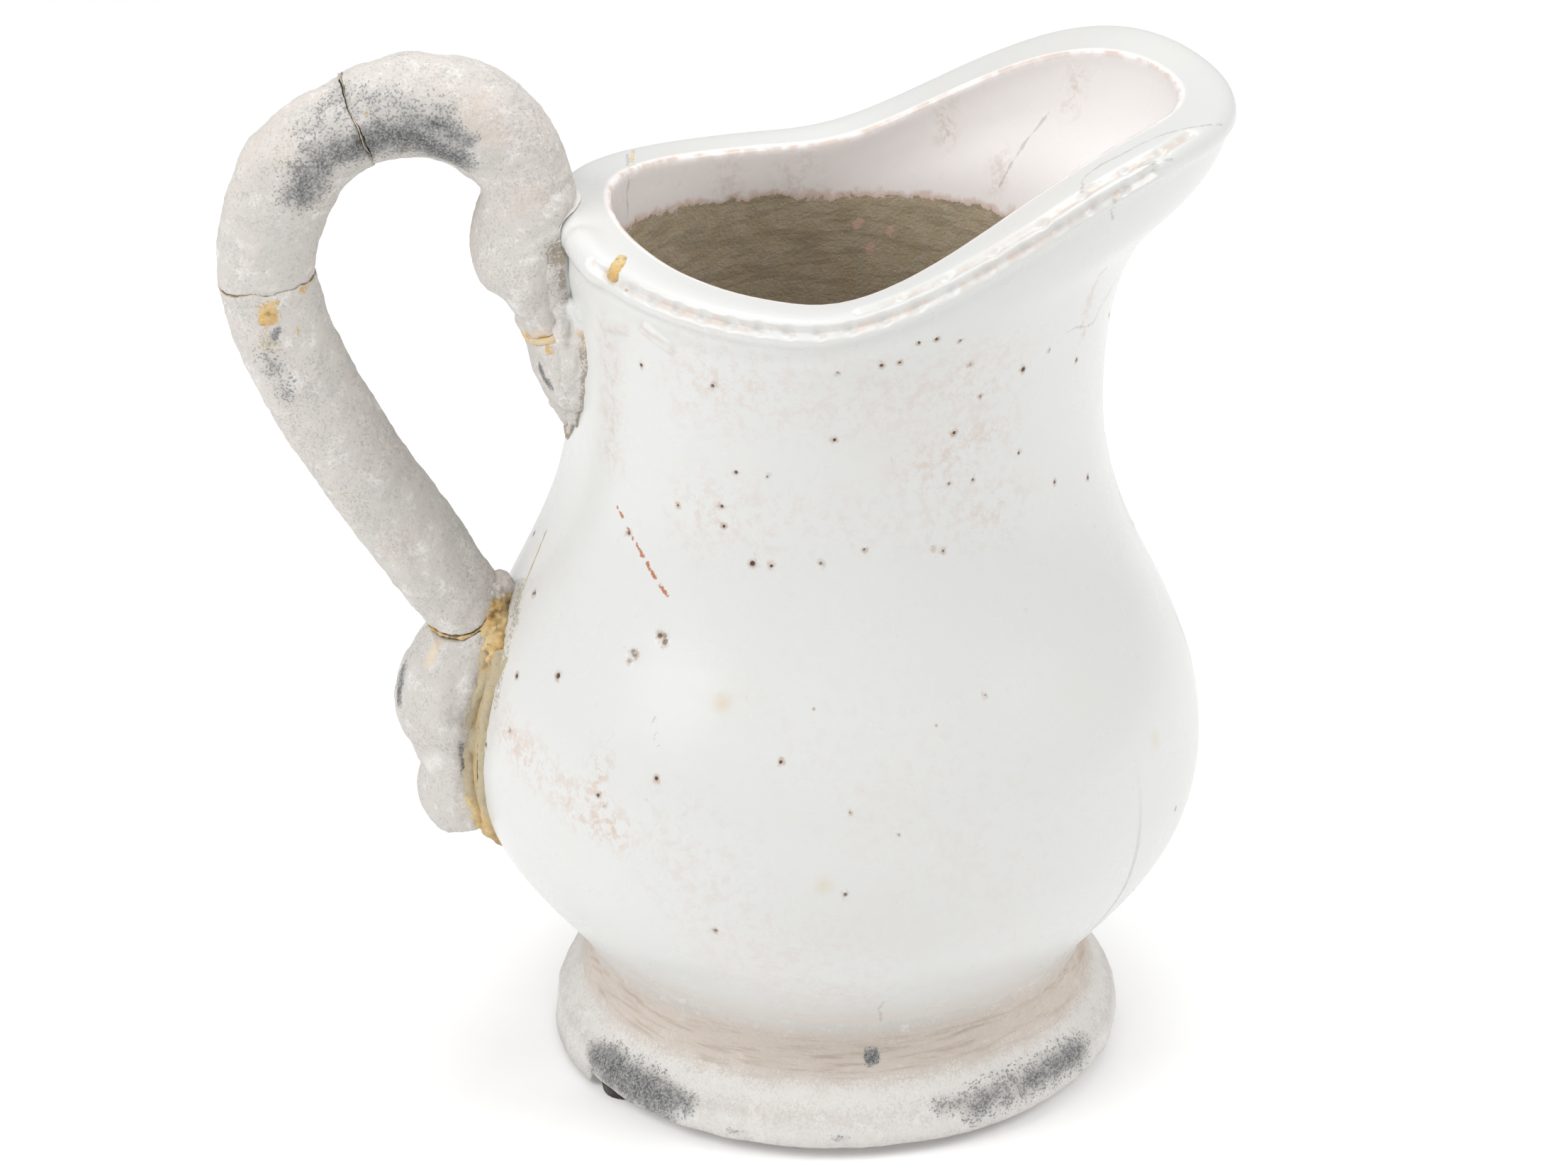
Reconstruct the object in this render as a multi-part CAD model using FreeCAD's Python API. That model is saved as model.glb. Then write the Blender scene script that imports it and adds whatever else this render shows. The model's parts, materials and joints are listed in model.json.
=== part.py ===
"""Mended white pitcher: glazed vessel, bare foot ring and a broken handle glued back on.

It stands on the table: +Z up, +X towards the pouring lip, and the handle on the -X side,
turned a little towards -Y. The origin is on the table under the middle of the whole
pitcher, so the vessel's own axis stands a little towards +X of it. Everything is shaped
about that axis and moved into place last.
"""
import FreeCAD, Part
import math
import os
from FreeCAD import Vector

# --- Driving dimensions, in millimetres and degrees ---
AXIS_X = 26.2                  # the vessel's axis, from the middle of the whole pitcher
RING_POLES = 48                # control points round every skinned ring

PAD_RADIUS = 6.35
PAD_HEIGHT = 3.0
PAD_PLACES = [(35.0, 59.0), (125.0, 60.0), (215.0, 62.5), (305.0, 57.0)]   # angle, reach

FOOT_BASE = PAD_HEIGHT
FOOT_TOP = 22.0
FOOT_BORE = 51.0
FOOT_SEAT = 60.8               # outer radius of the flat that carries the body
FOOT_EDGE_SOFTNESS = 1.5
# Outer outline of the foot, from the bottom edge up: height above its base, radius
FOOT_OUTLINE = [
    (0.0, 69.6), (0.4, 71.0), (3.0, 71.4), (7.2, 71.2), (11.0, 68.8), (13.6, 65.2), (16.4, 62.4),
]

LUTING_HEIGHT = 2.0            # slip joint between the foot and the body
BEAD_SWELL = 0.7               # how far its bead stands out in the cove
BODY_BASE = FOOT_TOP + LUTING_HEIGHT
BASE_RADIUS = 46.0
# Outer outline of the body below the lip, as control points: height, radius
BODY_OUTLINE = [
    (BODY_BASE, 59.6), (26.0, 60.4), (32.0, 62.0), (43.0, 71.2), (56.0, 82.2), (71.0, 89.4),
    (90.0, 90.4), (110.0, 85.2), (130.0, 74.4), (150.0, 66.2), (168.0, 63.6), (184.0, 64.0),
]
NECK_TOP = 190.0
NECK_RADIUS = 64.2
# Inner outline, from the neck down to the floor: height, radius
CAVITY_OUTLINE = [
    (184.0, 54.6), (168.0, 54.4), (150.0, 57.6), (130.0, 66.4), (110.0, 77.0), (90.0, 82.4),
    (71.0, 81.0), (56.0, 73.4), (44.0, 62.0), (36.0, 49.0), (33.0, 40.0), (33.0, 26.0),
]
CAVITY_NECK_RADIUS = 54.0

RIM_LOW = 214.6                # height of the rim at the sides
RIM_LIP_RISE = 33.2            # extra height at the lip
RIM_BACK_RISE = 7.5            # extra height behind, where the handle joins
RIM_RISE_START = 98.0          # angle from the lip where the rim begins to climb
RIM_RISE_END = 18.0
MOUTH_RADIUS = 51.4
MOUTH_BACK_EXTRA = 1.8
LIP_BROAD = 18.0               # how far the lip draws the mouth out, over a wide arc
LIP_NARROW = 10.4              # and over a narrow arc at its tip
LIP_BROAD_POWER = 3.0
LIP_NARROW_POWER = 14.0
RIM_WIDTH = 13.4
FLANK_POWER = 6                # how closely the flanks hug the lip
FLANK_WIDTH = 4.2              # the rim is wider there
FLANK_CROWN = 2.8              # and its outer edge stands higher
BAND_HEIGHT = 6.0
GROOVE_DEPTH = 1.3
# The rim's outline, as control points from the groove over the top and into the mouth:
# share of the rim's width from the mouth, inset from there, depth below the rim's top
RIM_OUTSIDE = [
    (1.0, GROOVE_DEPTH, BAND_HEIGHT + 2.6), (1.0, GROOVE_DEPTH, BAND_HEIGHT + 0.4),
    (1.0, -0.6, BAND_HEIGHT - 0.6), (1.0, -0.6, BAND_HEIGHT * 0.5), (1.0, 0.4, 0.8),
    (1.0, 2.6, -0.4), (0.5, 0.0, -0.6),
]
RIM_INSIDE = [(0.0, -2.0, 0.0), (0.0, -0.1, 0.1), (0.0, 0.1, 1.6), (0.0, -0.1, 5.0)]
# Share of the lip's climb and of its reach at each level between the neck and the band
LIP_LEVELS = [(0.16, 0.05), (0.36, 0.16), (0.56, 0.35), (0.76, 0.80)]

HANDLE_TURN = 4.5              # handle plane, turned from -X towards -Y
CRACK_GAP = 0.5                # thickness of the glue in a handle break
# Handle from the lower break to the neck: reach, height, radius in its plane, radius across
HANDLE_SECTIONS = [
    (90.8, 119.6, 10.5, 10.8), (97.0, 130.0, 10.9, 10.9), (104.2, 141.0, 11.1, 11.0),
    (111.2, 151.8, 11.2, 11.1), (117.8, 162.8, 11.3, 11.2), (124.0, 174.2, 11.4, 11.3),
    (129.2, 186.4, 11.5, 11.5), (133.0, 197.0, 11.7, 11.7), (134.4, 204.5, 11.8, 11.8),
    (134.6, 213.6, 12.0, 12.0), (131.6, 224.0, 12.2, 12.0), (126.4, 234.0, 12.0, 11.8),
    (118.8, 240.8, 11.6, 11.6), (112.0, 243.8, 11.4, 11.6), (103.6, 246.6, 12.2, 12.0),
    (92.6, 247.2, 12.8, 12.4), (82.2, 242.6, 13.2, 12.8), (75.6, 233.6, 12.0, 13.0),
    (72.6, 223.6, 11.6, 14.0), (73.2, 214.6, 13.4, 16.6), (72.8, 206.4, 13.4, 18.0),
    (70.4, 199.4, 10.4, 17.6), (68.0, 194.0, 7.8, 16.0),
]
LEFT_BREAK = 8                 # index of the section at each break
TOP_BREAK = 13
LEAF_SECTIONS = [
    (66.2, 190.0, 7.8, 17.4), (65.4, 184.0, 7.8, 18.6), (64.6, 176.0, 6.2, 15.6),
    (63.4, 169.0, 3.6, 10.0), (62.6, 163.0, 1.8, 4.0),
]
TERMINAL_SECTIONS = [
    (90.4, 110.0, 9.8, 13.4), (92.2, 102.6, 12.4, 17.4), (94.4, 94.0, 14.9, 18.6),
    (93.4, 85.6, 12.4, 16.6), (91.2, 79.0, 9.4, 15.0), (90.8, 73.0, 12.4, 15.0),
    (91.0, 67.0, 12.8, 15.4), (90.0, 63.6, 10.4, 14.0),
]
BEDDING_SECTIONS = [
    (84.0, 124.0, 3.0, 7.0), (84.0, 120.0, 8.0, 12.0), (87.0, 110.0, 12.0, 19.0),
    (90.0, 97.0, 14.0, 22.0), (91.0, 84.0, 14.0, 22.0), (90.0, 72.0, 13.0, 21.0),
    (86.0, 61.0, 12.0, 17.0), (82.0, 55.0, 6.0, 8.0),
]
LEAF_JOINT_GAP = 1.2
LOWER_JOINT_GAP = 1.0
BEDDING_GAP = 2.4              # filler between the belly and the handle's lower end
NECK_GAP = 1.0                 # glue between the neck and the handle's upper end
NECK_SPREAD = 1.2
FILLER_SECTIONS = [
    (84.6, 124.6, 2.0, 6.0), (84.0, 121.0, 4.6, 8.4), (82.4, 115.0, 6.4, 10.6),
    (81.8, 108.0, 6.6, 11.4), (83.4, 101.6, 4.0, 9.0), (84.4, 98.0, 2.0, 5.0),
]

RIM_CRACK_ANGLE = 151.0
RIM_CRACK_WIDTH = 1.0
RIM_CRACK_DEPTH = 8.0
RIM_CHIP_ANGLE = 216.0
RIM_CHIP_REACH = 61.0
RIM_CHIP_RADIUS = 3.2
RIM_CHIP_DEPTH = 2.5
PATCH_HEIGHT = 195.0           # filled chip on the shaft, below the left break
PATCH_REACH = 130.0
PATCH_RADIUS = 3.4
PATCH_DEPTH = 2.0


def ease(share):
    """Smooth 0 to 1 step."""
    share = min(1.0, max(0.0, share))
    return share * share * (3.0 - 2.0 * share)


def facing_lip(angle):
    """1 at the lip, 0 at the back."""
    return 0.5 * (1.0 + math.cos(angle))


def mouth_radius(angle):
    """Distance from the axis to the inner edge of the rim."""
    lip = facing_lip(angle)
    drawn = LIP_BROAD * lip ** LIP_BROAD_POWER + LIP_NARROW * lip ** LIP_NARROW_POWER
    return MOUTH_RADIUS + drawn + MOUTH_BACK_EXTRA * (1.0 - lip) ** 3


def flank(angle):
    """0 at the lip's tip and behind, 1 on each side of the lip."""
    lip = facing_lip(angle)
    peak = FLANK_POWER / (FLANK_POWER + 1.0)
    return (lip / peak) ** FLANK_POWER * (1.0 - lip) / (1.0 - peak)


def rim_width(angle):
    """Width of the rim's top, square to the mouth's outline."""
    return RIM_WIDTH + FLANK_WIDTH * flank(angle)


def rim_height(angle):
    """Height of the rim's top."""
    from_lip = abs(math.degrees(math.atan2(math.sin(angle), math.cos(angle))))
    climb = ease((RIM_RISE_START - from_lip) / (RIM_RISE_START - RIM_RISE_END))
    return RIM_LOW + RIM_LIP_RISE * climb + RIM_BACK_RISE * (1.0 - facing_lip(angle)) ** 6


def ring_angles():
    return [math.tau * step / RING_POLES for step in range(RING_POLES)]


# A closed cubic runs a little inside its control polygon: this puts it back on the radius.
POLE_FACTOR = 3.0 / (2.0 + math.cos(math.tau / RING_POLES))


def vessel_ring(plan, height):
    """Control ring about the vessel's axis, from its plan and its height at each angle."""
    return [plan(angle) * POLE_FACTOR + Vector(0, 0, height(angle)) for angle in ring_angles()]


def circle_point(radius, angle):
    return Vector(radius * math.cos(angle), radius * math.sin(angle), 0)


def round_ring(radius, height):
    return vessel_ring(lambda angle: circle_point(radius, angle), lambda angle: height)


def beside_mouth(angle, offset):
    """Plan point at an offset square to the mouth's outline."""
    step = 0.01
    here = circle_point(mouth_radius(angle), angle)
    before = circle_point(mouth_radius(angle - step), angle - step)
    after = circle_point(mouth_radius(angle + step), angle + step)
    along = (after - before).normalize()
    return here + Vector(along.y, -along.x, 0) * offset


def skin(rings):
    """Solid with one smooth side shaped by its control rings, and flat ends."""
    columns = [list(column) for column in zip(*rings)]
    count = len(rings)
    surface = Part.BSplineSurface()
    surface.buildFromPolesMultsKnots(
        columns,
        [1] * (RING_POLES + 1),
        [4] + [1] * (count - 4) + [4],
        list(range(RING_POLES + 1)),
        list(range(count - 2)),
        True,
        False,
        3,
        3,
    )
    side = surface.toShape()
    ends = [Part.Face(Part.Wire([edge])) for edge in side.Edges if edge.isClosed()]
    skin_faces = Part.makeCompound([side] + ends)
    skin_faces.sewShape()
    solid = Part.Solid(skin_faces.Shells[0])
    if solid.Volume < 0:
        solid.reverse()
    return solid


# --- Vessel ---
def lip_level(climb, reach, neck, width_share, grow):
    """Ring between the neck and the band: a share of the way up and out to the rim."""
    def plan(angle):
        at_neck = circle_point(neck, angle)
        at_rim = beside_mouth(angle, width_share * rim_width(angle))
        return at_neck + (at_rim - at_neck) * reach + circle_point(grow, angle)

    return vessel_ring(
        plan, lambda angle: NECK_TOP + climb * (rim_height(angle) - BAND_HEIGHT - NECK_TOP)
    )


def rim_ring(width_share, inset, below, grow):
    """Ring on the rim: a share of its width out, less an inset, and below its top."""
    return vessel_ring(
        lambda angle: beside_mouth(angle, width_share * rim_width(angle) - inset + grow),
        lambda angle: rim_height(angle)
        + FLANK_CROWN * width_share * flank(angle)
        - below
        + abs(grow),
    )


def vessel(grow=0.0):
    """The glazed wall with its rolled rim and lip; grow thickens it on both faces."""
    rings = [round_ring(BASE_RADIUS, BODY_BASE - grow)]
    rings += [round_ring(radius + grow, height) for height, radius in BODY_OUTLINE]
    rings += [lip_level(climb, reach, NECK_RADIUS, 1.0, grow) for climb, reach in LIP_LEVELS]
    rings += [rim_ring(*point, grow) for point in RIM_OUTSIDE]
    rings += [rim_ring(*point, -grow) for point in RIM_INSIDE]
    rings += [
        lip_level(climb, reach, CAVITY_NECK_RADIUS, 0.0, -grow)
        for climb, reach in reversed(LIP_LEVELS)
    ]
    rings += [round_ring(radius - grow, height) for height, radius in CAVITY_OUTLINE]
    return skin(rings)


def standing_box(angle, reach, length, width, low, high):
    """Upright box lying along a radius of the vessel."""
    box = Part.makeBox(length, width, high - low, Vector(reach, -width / 2.0, low))
    box.rotate(Vector(0, 0, 0), Vector(0, 0, 1), angle)
    return box


def rim_crack_tool():
    top = rim_height(math.radians(RIM_CRACK_ANGLE))
    return standing_box(
        RIM_CRACK_ANGLE,
        MOUTH_RADIUS - 4.0,
        RIM_WIDTH + 8.0,
        RIM_CRACK_WIDTH,
        top - RIM_CRACK_DEPTH,
        top + RIM_CRACK_DEPTH,
    )


def rim_chip_tool():
    angle = math.radians(RIM_CHIP_ANGLE)
    top = rim_height(angle)
    foot = Vector(
        RIM_CHIP_REACH * math.cos(angle), RIM_CHIP_REACH * math.sin(angle), top - RIM_CHIP_DEPTH
    )
    return Part.makeCylinder(RIM_CHIP_RADIUS, 2.0 * RIM_CHIP_DEPTH, foot)


# --- Foot ---
def foot_ring():
    """Heavy rounded ring with a flat seat on top and a recess below."""
    outline = [Vector(radius, 0, FOOT_BASE + rise) for rise, radius in FOOT_OUTLINE]
    outline.append(Vector(FOOT_SEAT, 0, FOOT_TOP))
    bulge = Part.BSplineCurve()
    bulge.buildFromPoles(outline)
    corners = [
        outline[-1],
        Vector(FOOT_BORE, 0, FOOT_TOP),
        Vector(FOOT_BORE, 0, FOOT_BASE + FOOT_EDGE_SOFTNESS),
        Vector(FOOT_BORE + FOOT_EDGE_SOFTNESS, 0, FOOT_BASE),
        outline[0],
    ]
    edges = [bulge.toShape()]
    edges += [Part.LineSegment(a, b).toShape() for a, b in zip(corners, corners[1:])]
    return turned(Part.Wire(edges))


def foot_luting_ring():
    """Bead of slip that joins the body to the foot, showing in the cove."""
    inner, outer = FOOT_BORE + 1.0, BODY_OUTLINE[0][1]
    low, high = FOOT_TOP, BODY_BASE
    bead = Part.Arc(
        Vector(FOOT_SEAT, 0, low),
        Vector(0.5 * (FOOT_SEAT + outer) + BEAD_SWELL, 0, 0.5 * (low + high)),
        Vector(outer, 0, high),
    )
    corners = [
        Vector(outer, 0, high),
        Vector(inner, 0, high),
        Vector(inner, 0, low),
        Vector(FOOT_SEAT, 0, low),
    ]
    edges = [bead.toShape()]
    edges += [Part.LineSegment(a, b).toShape() for a, b in zip(corners, corners[1:])]
    return turned(Part.Wire(edges))


def turned(wire):
    """Solid of revolution about the vessel's axis."""
    return Part.Face(wire).revolve(Vector(0, 0, 0), Vector(0, 0, 1), 360)


def foot_pad(degrees, reach):
    centre = circle_point(reach, math.radians(degrees))
    return Part.makeCylinder(PAD_RADIUS, PAD_HEIGHT, centre)


# --- Handle ---
def handle_axes():
    """Unit vectors outwards along the handle's plane, and across it."""
    turn = math.radians(HANDLE_TURN)
    outward = Vector(-math.cos(turn), -math.sin(turn), 0)
    across = Vector(math.sin(turn), -math.cos(turn), 0)
    return outward, across


OUTWARD, ACROSS = handle_axes()
UP = Vector(0, 0, 1)


def in_plane(reach, height):
    return OUTWARD * reach + UP * height


def tangents(sections):
    """Direction of travel at each section, from its neighbours."""
    centres = [in_plane(section[0], section[1]) for section in sections]
    before = [centres[0]] + centres[:-1]
    after = centres[1:] + [centres[-1]]
    return [(b - a).normalize() for a, b in zip(before, after)]


def tube_ring(section, tangent, slide=0.0, spread=0.0):
    """Oval control ring square to the tangent, moved along it by slide."""
    reach, height, radius, half_width = section
    centre = in_plane(reach, height) + tangent * slide
    normal = tangent.cross(ACROSS)
    return [
        centre
        + normal * (POLE_FACTOR * (radius + spread) * math.cos(angle))
        + ACROSS * (POLE_FACTOR * (half_width + spread) * math.sin(angle))
        for angle in ring_angles()
    ]


HANDLE_TANGENTS = tangents(HANDLE_SECTIONS)


def handle_length(first, last, start_gap=0.0, spread=0.0):
    """Piece of the handle between two sections, starting past a glued break."""
    rings = [tube_ring(HANDLE_SECTIONS[first], HANDLE_TANGENTS[first], start_gap, spread)]
    rings += [
        tube_ring(HANDLE_SECTIONS[index], HANDLE_TANGENTS[index], 0.0, spread)
        for index in range(first + 1, last + 1)
    ]
    return skin(rings)


def glue_disc(index):
    """Thin disc that fills a break square to the handle."""
    steps = [CRACK_GAP * share / 3.0 for share in range(4)]
    return skin([tube_ring(HANDLE_SECTIONS[index], HANDLE_TANGENTS[index], s) for s in steps])


def hung_form(sections, spread=0.0, start=None):
    """Lobed end piece, lofted downwards; start puts its own ring first."""
    directions = tangents(sections)
    rings = [start] if start else []
    rings += [tube_ring(s, t, 0.0, spread) for s, t in zip(sections, directions)]
    return skin(rings)


def lower_joint_ring(gap):
    return tube_ring(HANDLE_SECTIONS[0], HANDLE_TANGENTS[0] * -1.0, gap)


def leaf_joint_ring(gap, spread=0.0):
    return tube_ring(HANDLE_SECTIONS[-1], HANDLE_TANGENTS[-1], gap, spread)


def shaft_patch_tool():
    """Upright plug from the near side into the shaft."""
    centre = in_plane(PATCH_REACH, PATCH_HEIGHT)
    radius = HANDLE_SECTIONS[LEFT_BREAK - 1][3]
    start = centre + ACROSS * (radius - PATCH_DEPTH)
    return Part.makeCylinder(PATCH_RADIUS, 2.0 * PATCH_DEPTH + 2.0, start, ACROSS)


def joint_disc(start_ring, end_ring):
    """Thin filler between two nearly parallel rings."""
    steps = [share / 3.0 for share in range(4)]
    return skin([[a + (b - a) * s for a, b in zip(start_ring, end_ring)] for s in steps])


def largest(shape):
    """The biggest solid of a boolean result."""
    return max(shape.Solids, key=lambda solid: solid.Volume)


def build_handle(vessel_shape):
    """Every handle piece and the fillers that hold it, by node name."""
    near_neck = vessel(NECK_GAP)
    near_belly = vessel(BEDDING_GAP)

    root = handle_length(TOP_BREAK, len(HANDLE_SECTIONS) - 1, CRACK_GAP)
    wide_root = handle_length(TOP_BREAK + 4, len(HANDLE_SECTIONS) - 1, 0.0, NECK_SPREAD)
    leaf_top = leaf_joint_ring(LEAF_JOINT_GAP)
    leaf = hung_form(LEAF_SECTIONS, 0.0, leaf_top)
    wide_leaf = hung_form(LEAF_SECTIONS, NECK_SPREAD, leaf_joint_ring(LEAF_JOINT_GAP, NECK_SPREAD))
    leaf_filler = joint_disc(leaf_joint_ring(0.0), leaf_top)

    terminal_top = lower_joint_ring(LOWER_JOINT_GAP)
    terminal = hung_form(TERMINAL_SECTIONS, 0.0, terminal_top)
    shaft = handle_length(0, LEFT_BREAK).cut(near_belly)
    patch_tool = shaft_patch_tool()
    lower_filler = joint_disc(lower_joint_ring(0.0), terminal_top)
    corner = hung_form(FILLER_SECTIONS)

    pieces = {
        "handle_crown": handle_length(LEFT_BREAK, TOP_BREAK, CRACK_GAP),
        "crown_joint_adhesive": glue_disc(TOP_BREAK),
        "shaft_joint_adhesive": glue_disc(LEFT_BREAK),
        "shaft_chip_filler": largest(shaft.common(patch_tool)),
        "handle_shaft": largest(shaft.cut(patch_tool)),
        "handle_root": largest(root.cut(near_neck)),
        "leaf_tip": largest(leaf.cut(near_neck)),
        "leaf_joint_filler": largest(leaf_filler.cut(near_neck)),
        "lower_terminal": largest(terminal.cut(near_belly)),
    }
    bedding = largest(hung_form(BEDDING_SECTIONS).common(near_belly).cut(vessel_shape))
    pieces["terminal_bedding"] = bedding
    pieces["lower_joint_filler"] = largest(
        lower_filler.fuse(corner).cut(shaft).cut(terminal).cut(vessel_shape).cut(bedding)
    )
    pieces["root_bedding"] = largest(wide_root.common(near_neck).cut(vessel_shape))
    leaf_bedding = wide_leaf.common(near_neck).cut(vessel_shape)
    pieces["leaf_bedding"] = largest(leaf_bedding.cut(pieces["root_bedding"]))
    return pieces


def build():
    body = vessel()
    crack, chip = rim_crack_tool(), rim_chip_tool()
    pieces = build_handle(body)
    pieces["rim_crack_filler"] = largest(body.common(crack))
    pieces["rim_chip_filler"] = largest(body.common(chip))
    pieces["vessel_body"] = largest(body.cut(crack).cut(chip))
    pieces["foot_ring"] = foot_ring()
    pieces["foot_luting_ring"] = foot_luting_ring()
    for number, (degrees, reach) in enumerate(PAD_PLACES, 1):
        pieces[f"foot_pad_{number}"] = foot_pad(degrees, reach)
    return pieces


def main():
    os.makedirs("parts", exist_ok=True)
    for name, shape in build().items():
        shape.translate(Vector(AXIS_X, 0, 0))
        shape.exportStep(f"parts/{name}.step")
        solids = len(shape.Solids)
        print(f"{name}: {solids} solid, {shape.Volume / 1000.0:.2f} cm3, valid {shape.isValid()}")


main()
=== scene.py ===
"""Looks of the mended white pitcher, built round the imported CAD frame.

Lengths in this file are millimetres about the vessel's axis, apart from those of the floor and
the lights, which are metres. Angles are degrees round the axis from the lip (+X) towards +Y.
A place on the vessel or foot is (angle, height), and on the rim (angle, radius). A place on the
handle is (reach, height) in the handle's own upright plane, seen from its near side.
"""
import json
import math
import random

import bmesh
import bpy
import numpy as np
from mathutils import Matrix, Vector, noise
from mathutils.bvhtree import BVHTree
from mathutils.kdtree import KDTree

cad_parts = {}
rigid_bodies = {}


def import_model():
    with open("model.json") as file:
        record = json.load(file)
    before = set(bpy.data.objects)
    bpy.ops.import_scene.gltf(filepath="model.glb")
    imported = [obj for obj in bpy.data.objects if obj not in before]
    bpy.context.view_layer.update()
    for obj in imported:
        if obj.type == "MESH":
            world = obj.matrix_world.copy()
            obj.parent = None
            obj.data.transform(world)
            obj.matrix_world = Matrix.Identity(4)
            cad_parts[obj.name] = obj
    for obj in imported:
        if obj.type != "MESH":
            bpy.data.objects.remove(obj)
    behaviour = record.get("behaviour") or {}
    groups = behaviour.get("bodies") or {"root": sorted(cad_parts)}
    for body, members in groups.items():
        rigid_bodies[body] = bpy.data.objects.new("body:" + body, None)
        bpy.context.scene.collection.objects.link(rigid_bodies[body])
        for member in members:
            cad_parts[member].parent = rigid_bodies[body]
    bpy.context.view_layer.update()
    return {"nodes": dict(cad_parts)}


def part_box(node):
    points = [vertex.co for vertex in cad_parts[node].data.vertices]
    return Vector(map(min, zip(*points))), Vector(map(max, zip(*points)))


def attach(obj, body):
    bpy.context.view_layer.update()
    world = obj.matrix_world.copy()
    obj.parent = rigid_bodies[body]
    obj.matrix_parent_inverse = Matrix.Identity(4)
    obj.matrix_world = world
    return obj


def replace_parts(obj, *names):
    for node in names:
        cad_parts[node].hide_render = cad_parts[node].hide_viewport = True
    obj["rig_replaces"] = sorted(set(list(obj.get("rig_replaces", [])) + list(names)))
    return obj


MM = 0.001
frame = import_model()


# --- Places on the frame ---
def cad(node):
    """A CAD node's mesh, which stays as it is."""
    return frame["nodes"][node].data


def middle(node):
    low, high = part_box(node)
    return (low + high) / 2


AXIS = Vector((middle("foot_ring").x, middle("foot_ring").y, 0))
UP = Vector((0, 0, 1))
OUTWARD = (middle("handle_shaft") - AXIS).xy.normalized().to_3d()
ACROSS = Vector((-OUTWARD.y, OUTWARD.x, 0))
FAR = 400.0
HANDLE_NODES = ["handle_root", "handle_crown", "handle_shaft", "leaf_tip", "lower_terminal"]
OUTSIDE_NODES = ["vessel_body", "rim_crack_filler", "rim_chip_filler", "foot_luting_ring", "foot_ring"]


def world(place):
    """Millimetres about the vessel's axis, turned into the frame's metres."""
    return AXIS + Vector(place) * MM


def surface_tree(meshes):
    """Search tree over the surfaces of some meshes."""
    points, faces = [], []
    for mesh in meshes:
        faces += [[len(points) + index for index in face.vertices] for face in mesh.polygons]
        points += [vertex.co.copy() for vertex in mesh.vertices]
    return BVHTree.FromPolygons(points, faces)


OUTSIDE = surface_tree(cad(node) for node in OUTSIDE_NODES)
HANDLE = surface_tree(cad(node) for node in HANDLE_NODES + ["shaft_chip_filler"])


def hit(tree, start, direction):
    """Where a ray first meets a surface, or the surface's point nearest to where it aims."""
    found = tree.ray_cast(world(start), direction)[0]
    if found is None:
        found = tree.find_nearest(world(start + direction * FAR))[0]
    return (found - AXIS) / MM


def spoke(angle):
    return Vector((math.cos(math.radians(angle)), math.sin(math.radians(angle)), 0))


def on_vessel(angle, height):
    """Point on the outside of the vessel or the foot."""
    return hit(OUTSIDE, spoke(angle) * FAR + UP * height, -spoke(angle))


def in_vessel(angle, height):
    """Point on the inner wall."""
    return hit(OUTSIDE, UP * height, spoke(angle))


def on_rim(angle, radius):
    """Point on top of the rim, straight below."""
    return hit(OUTSIDE, spoke(angle) * radius + UP * FAR, -UP)


def on_handle(reach, height):
    """Point on the near side of the handle."""
    return hit(HANDLE, OUTWARD * reach + UP * height + ACROSS * FAR, -ACROSS)


RIM_RADII = range(52, 96)
CREST_FALL = 2                 # the rim's edge is where its top has fallen this far


def rim_edge(angle):
    """Radius of the rim's outer edge and the height of its crest."""
    top = [on_rim(angle, radius) for radius in RIM_RADII]
    crest = max(point.z for point in top)
    return max(point.xy.length for point in top if point.z > crest - CREST_FALL), crest


def shifted(place, rows):
    """Stroke rows moved from about nought to about a place."""
    return [
        ((place[0] + start[0], place[1] + start[1]), (place[0] + end[0], place[1] + end[1]), size, strength)
        for start, end, size, strength in rows
    ]


def beside(node, rows):
    """Strokes on the handle, from rows measured outward and up from the middle of a node."""
    centre = (middle(node) - AXIS) / MM
    return shifted((centre.dot(OUTWARD), centre.z), rows)


def round_root(rows):
    """Strokes on the vessel's wall, from rows in degrees and millimetres from the root's glue."""
    turn = math.degrees(math.atan2(OUTWARD.y, OUTWARD.x)) % 360
    return shifted((turn, middle("root_bedding").z / MM), rows)


# --- Reading and making meshes ---
def read_points(mesh):
    """Vertices in millimetres about the vessel's axis."""
    points = np.empty(len(mesh.vertices) * 3)
    mesh.vertices.foreach_get("co", points)
    return (points.reshape(-1, 3) - np.array(AXIS)) / MM


def write_points(mesh, points):
    mesh.vertices.foreach_set("co", (points * MM + np.array(AXIS)).ravel())
    mesh.update()


def read_normals(mesh):
    normals = np.empty(len(mesh.vertices) * 3)
    mesh.vertex_normals.foreach_get("vector", normals)
    return normals.reshape(-1, 3)


def set_layer(mesh, name, values):
    layer = mesh.attributes.get(name) or mesh.attributes.new(name, "FLOAT", "POINT")
    layer.data.foreach_set("value", np.asarray(values, np.float32))


def placed(name, data):
    """A new object in the scene."""
    made = bpy.data.objects.new(name, data)
    bpy.context.scene.collection.objects.link(made)
    return made


def show(mesh, name, nodes, material):
    """Puts a mesh in the scene as the piece that stands for some CAD nodes."""
    piece = placed(name, mesh)
    mesh.shade_smooth()
    mesh.materials.clear()
    mesh.materials.append(material)
    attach(piece, "root")
    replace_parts(piece, *nodes)


def finished(work, name):
    """The mesh of some work in bmesh, which is then let go."""
    mesh = bpy.data.meshes.new(name)
    work.to_mesh(mesh)
    work.free()
    return mesh


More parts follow.
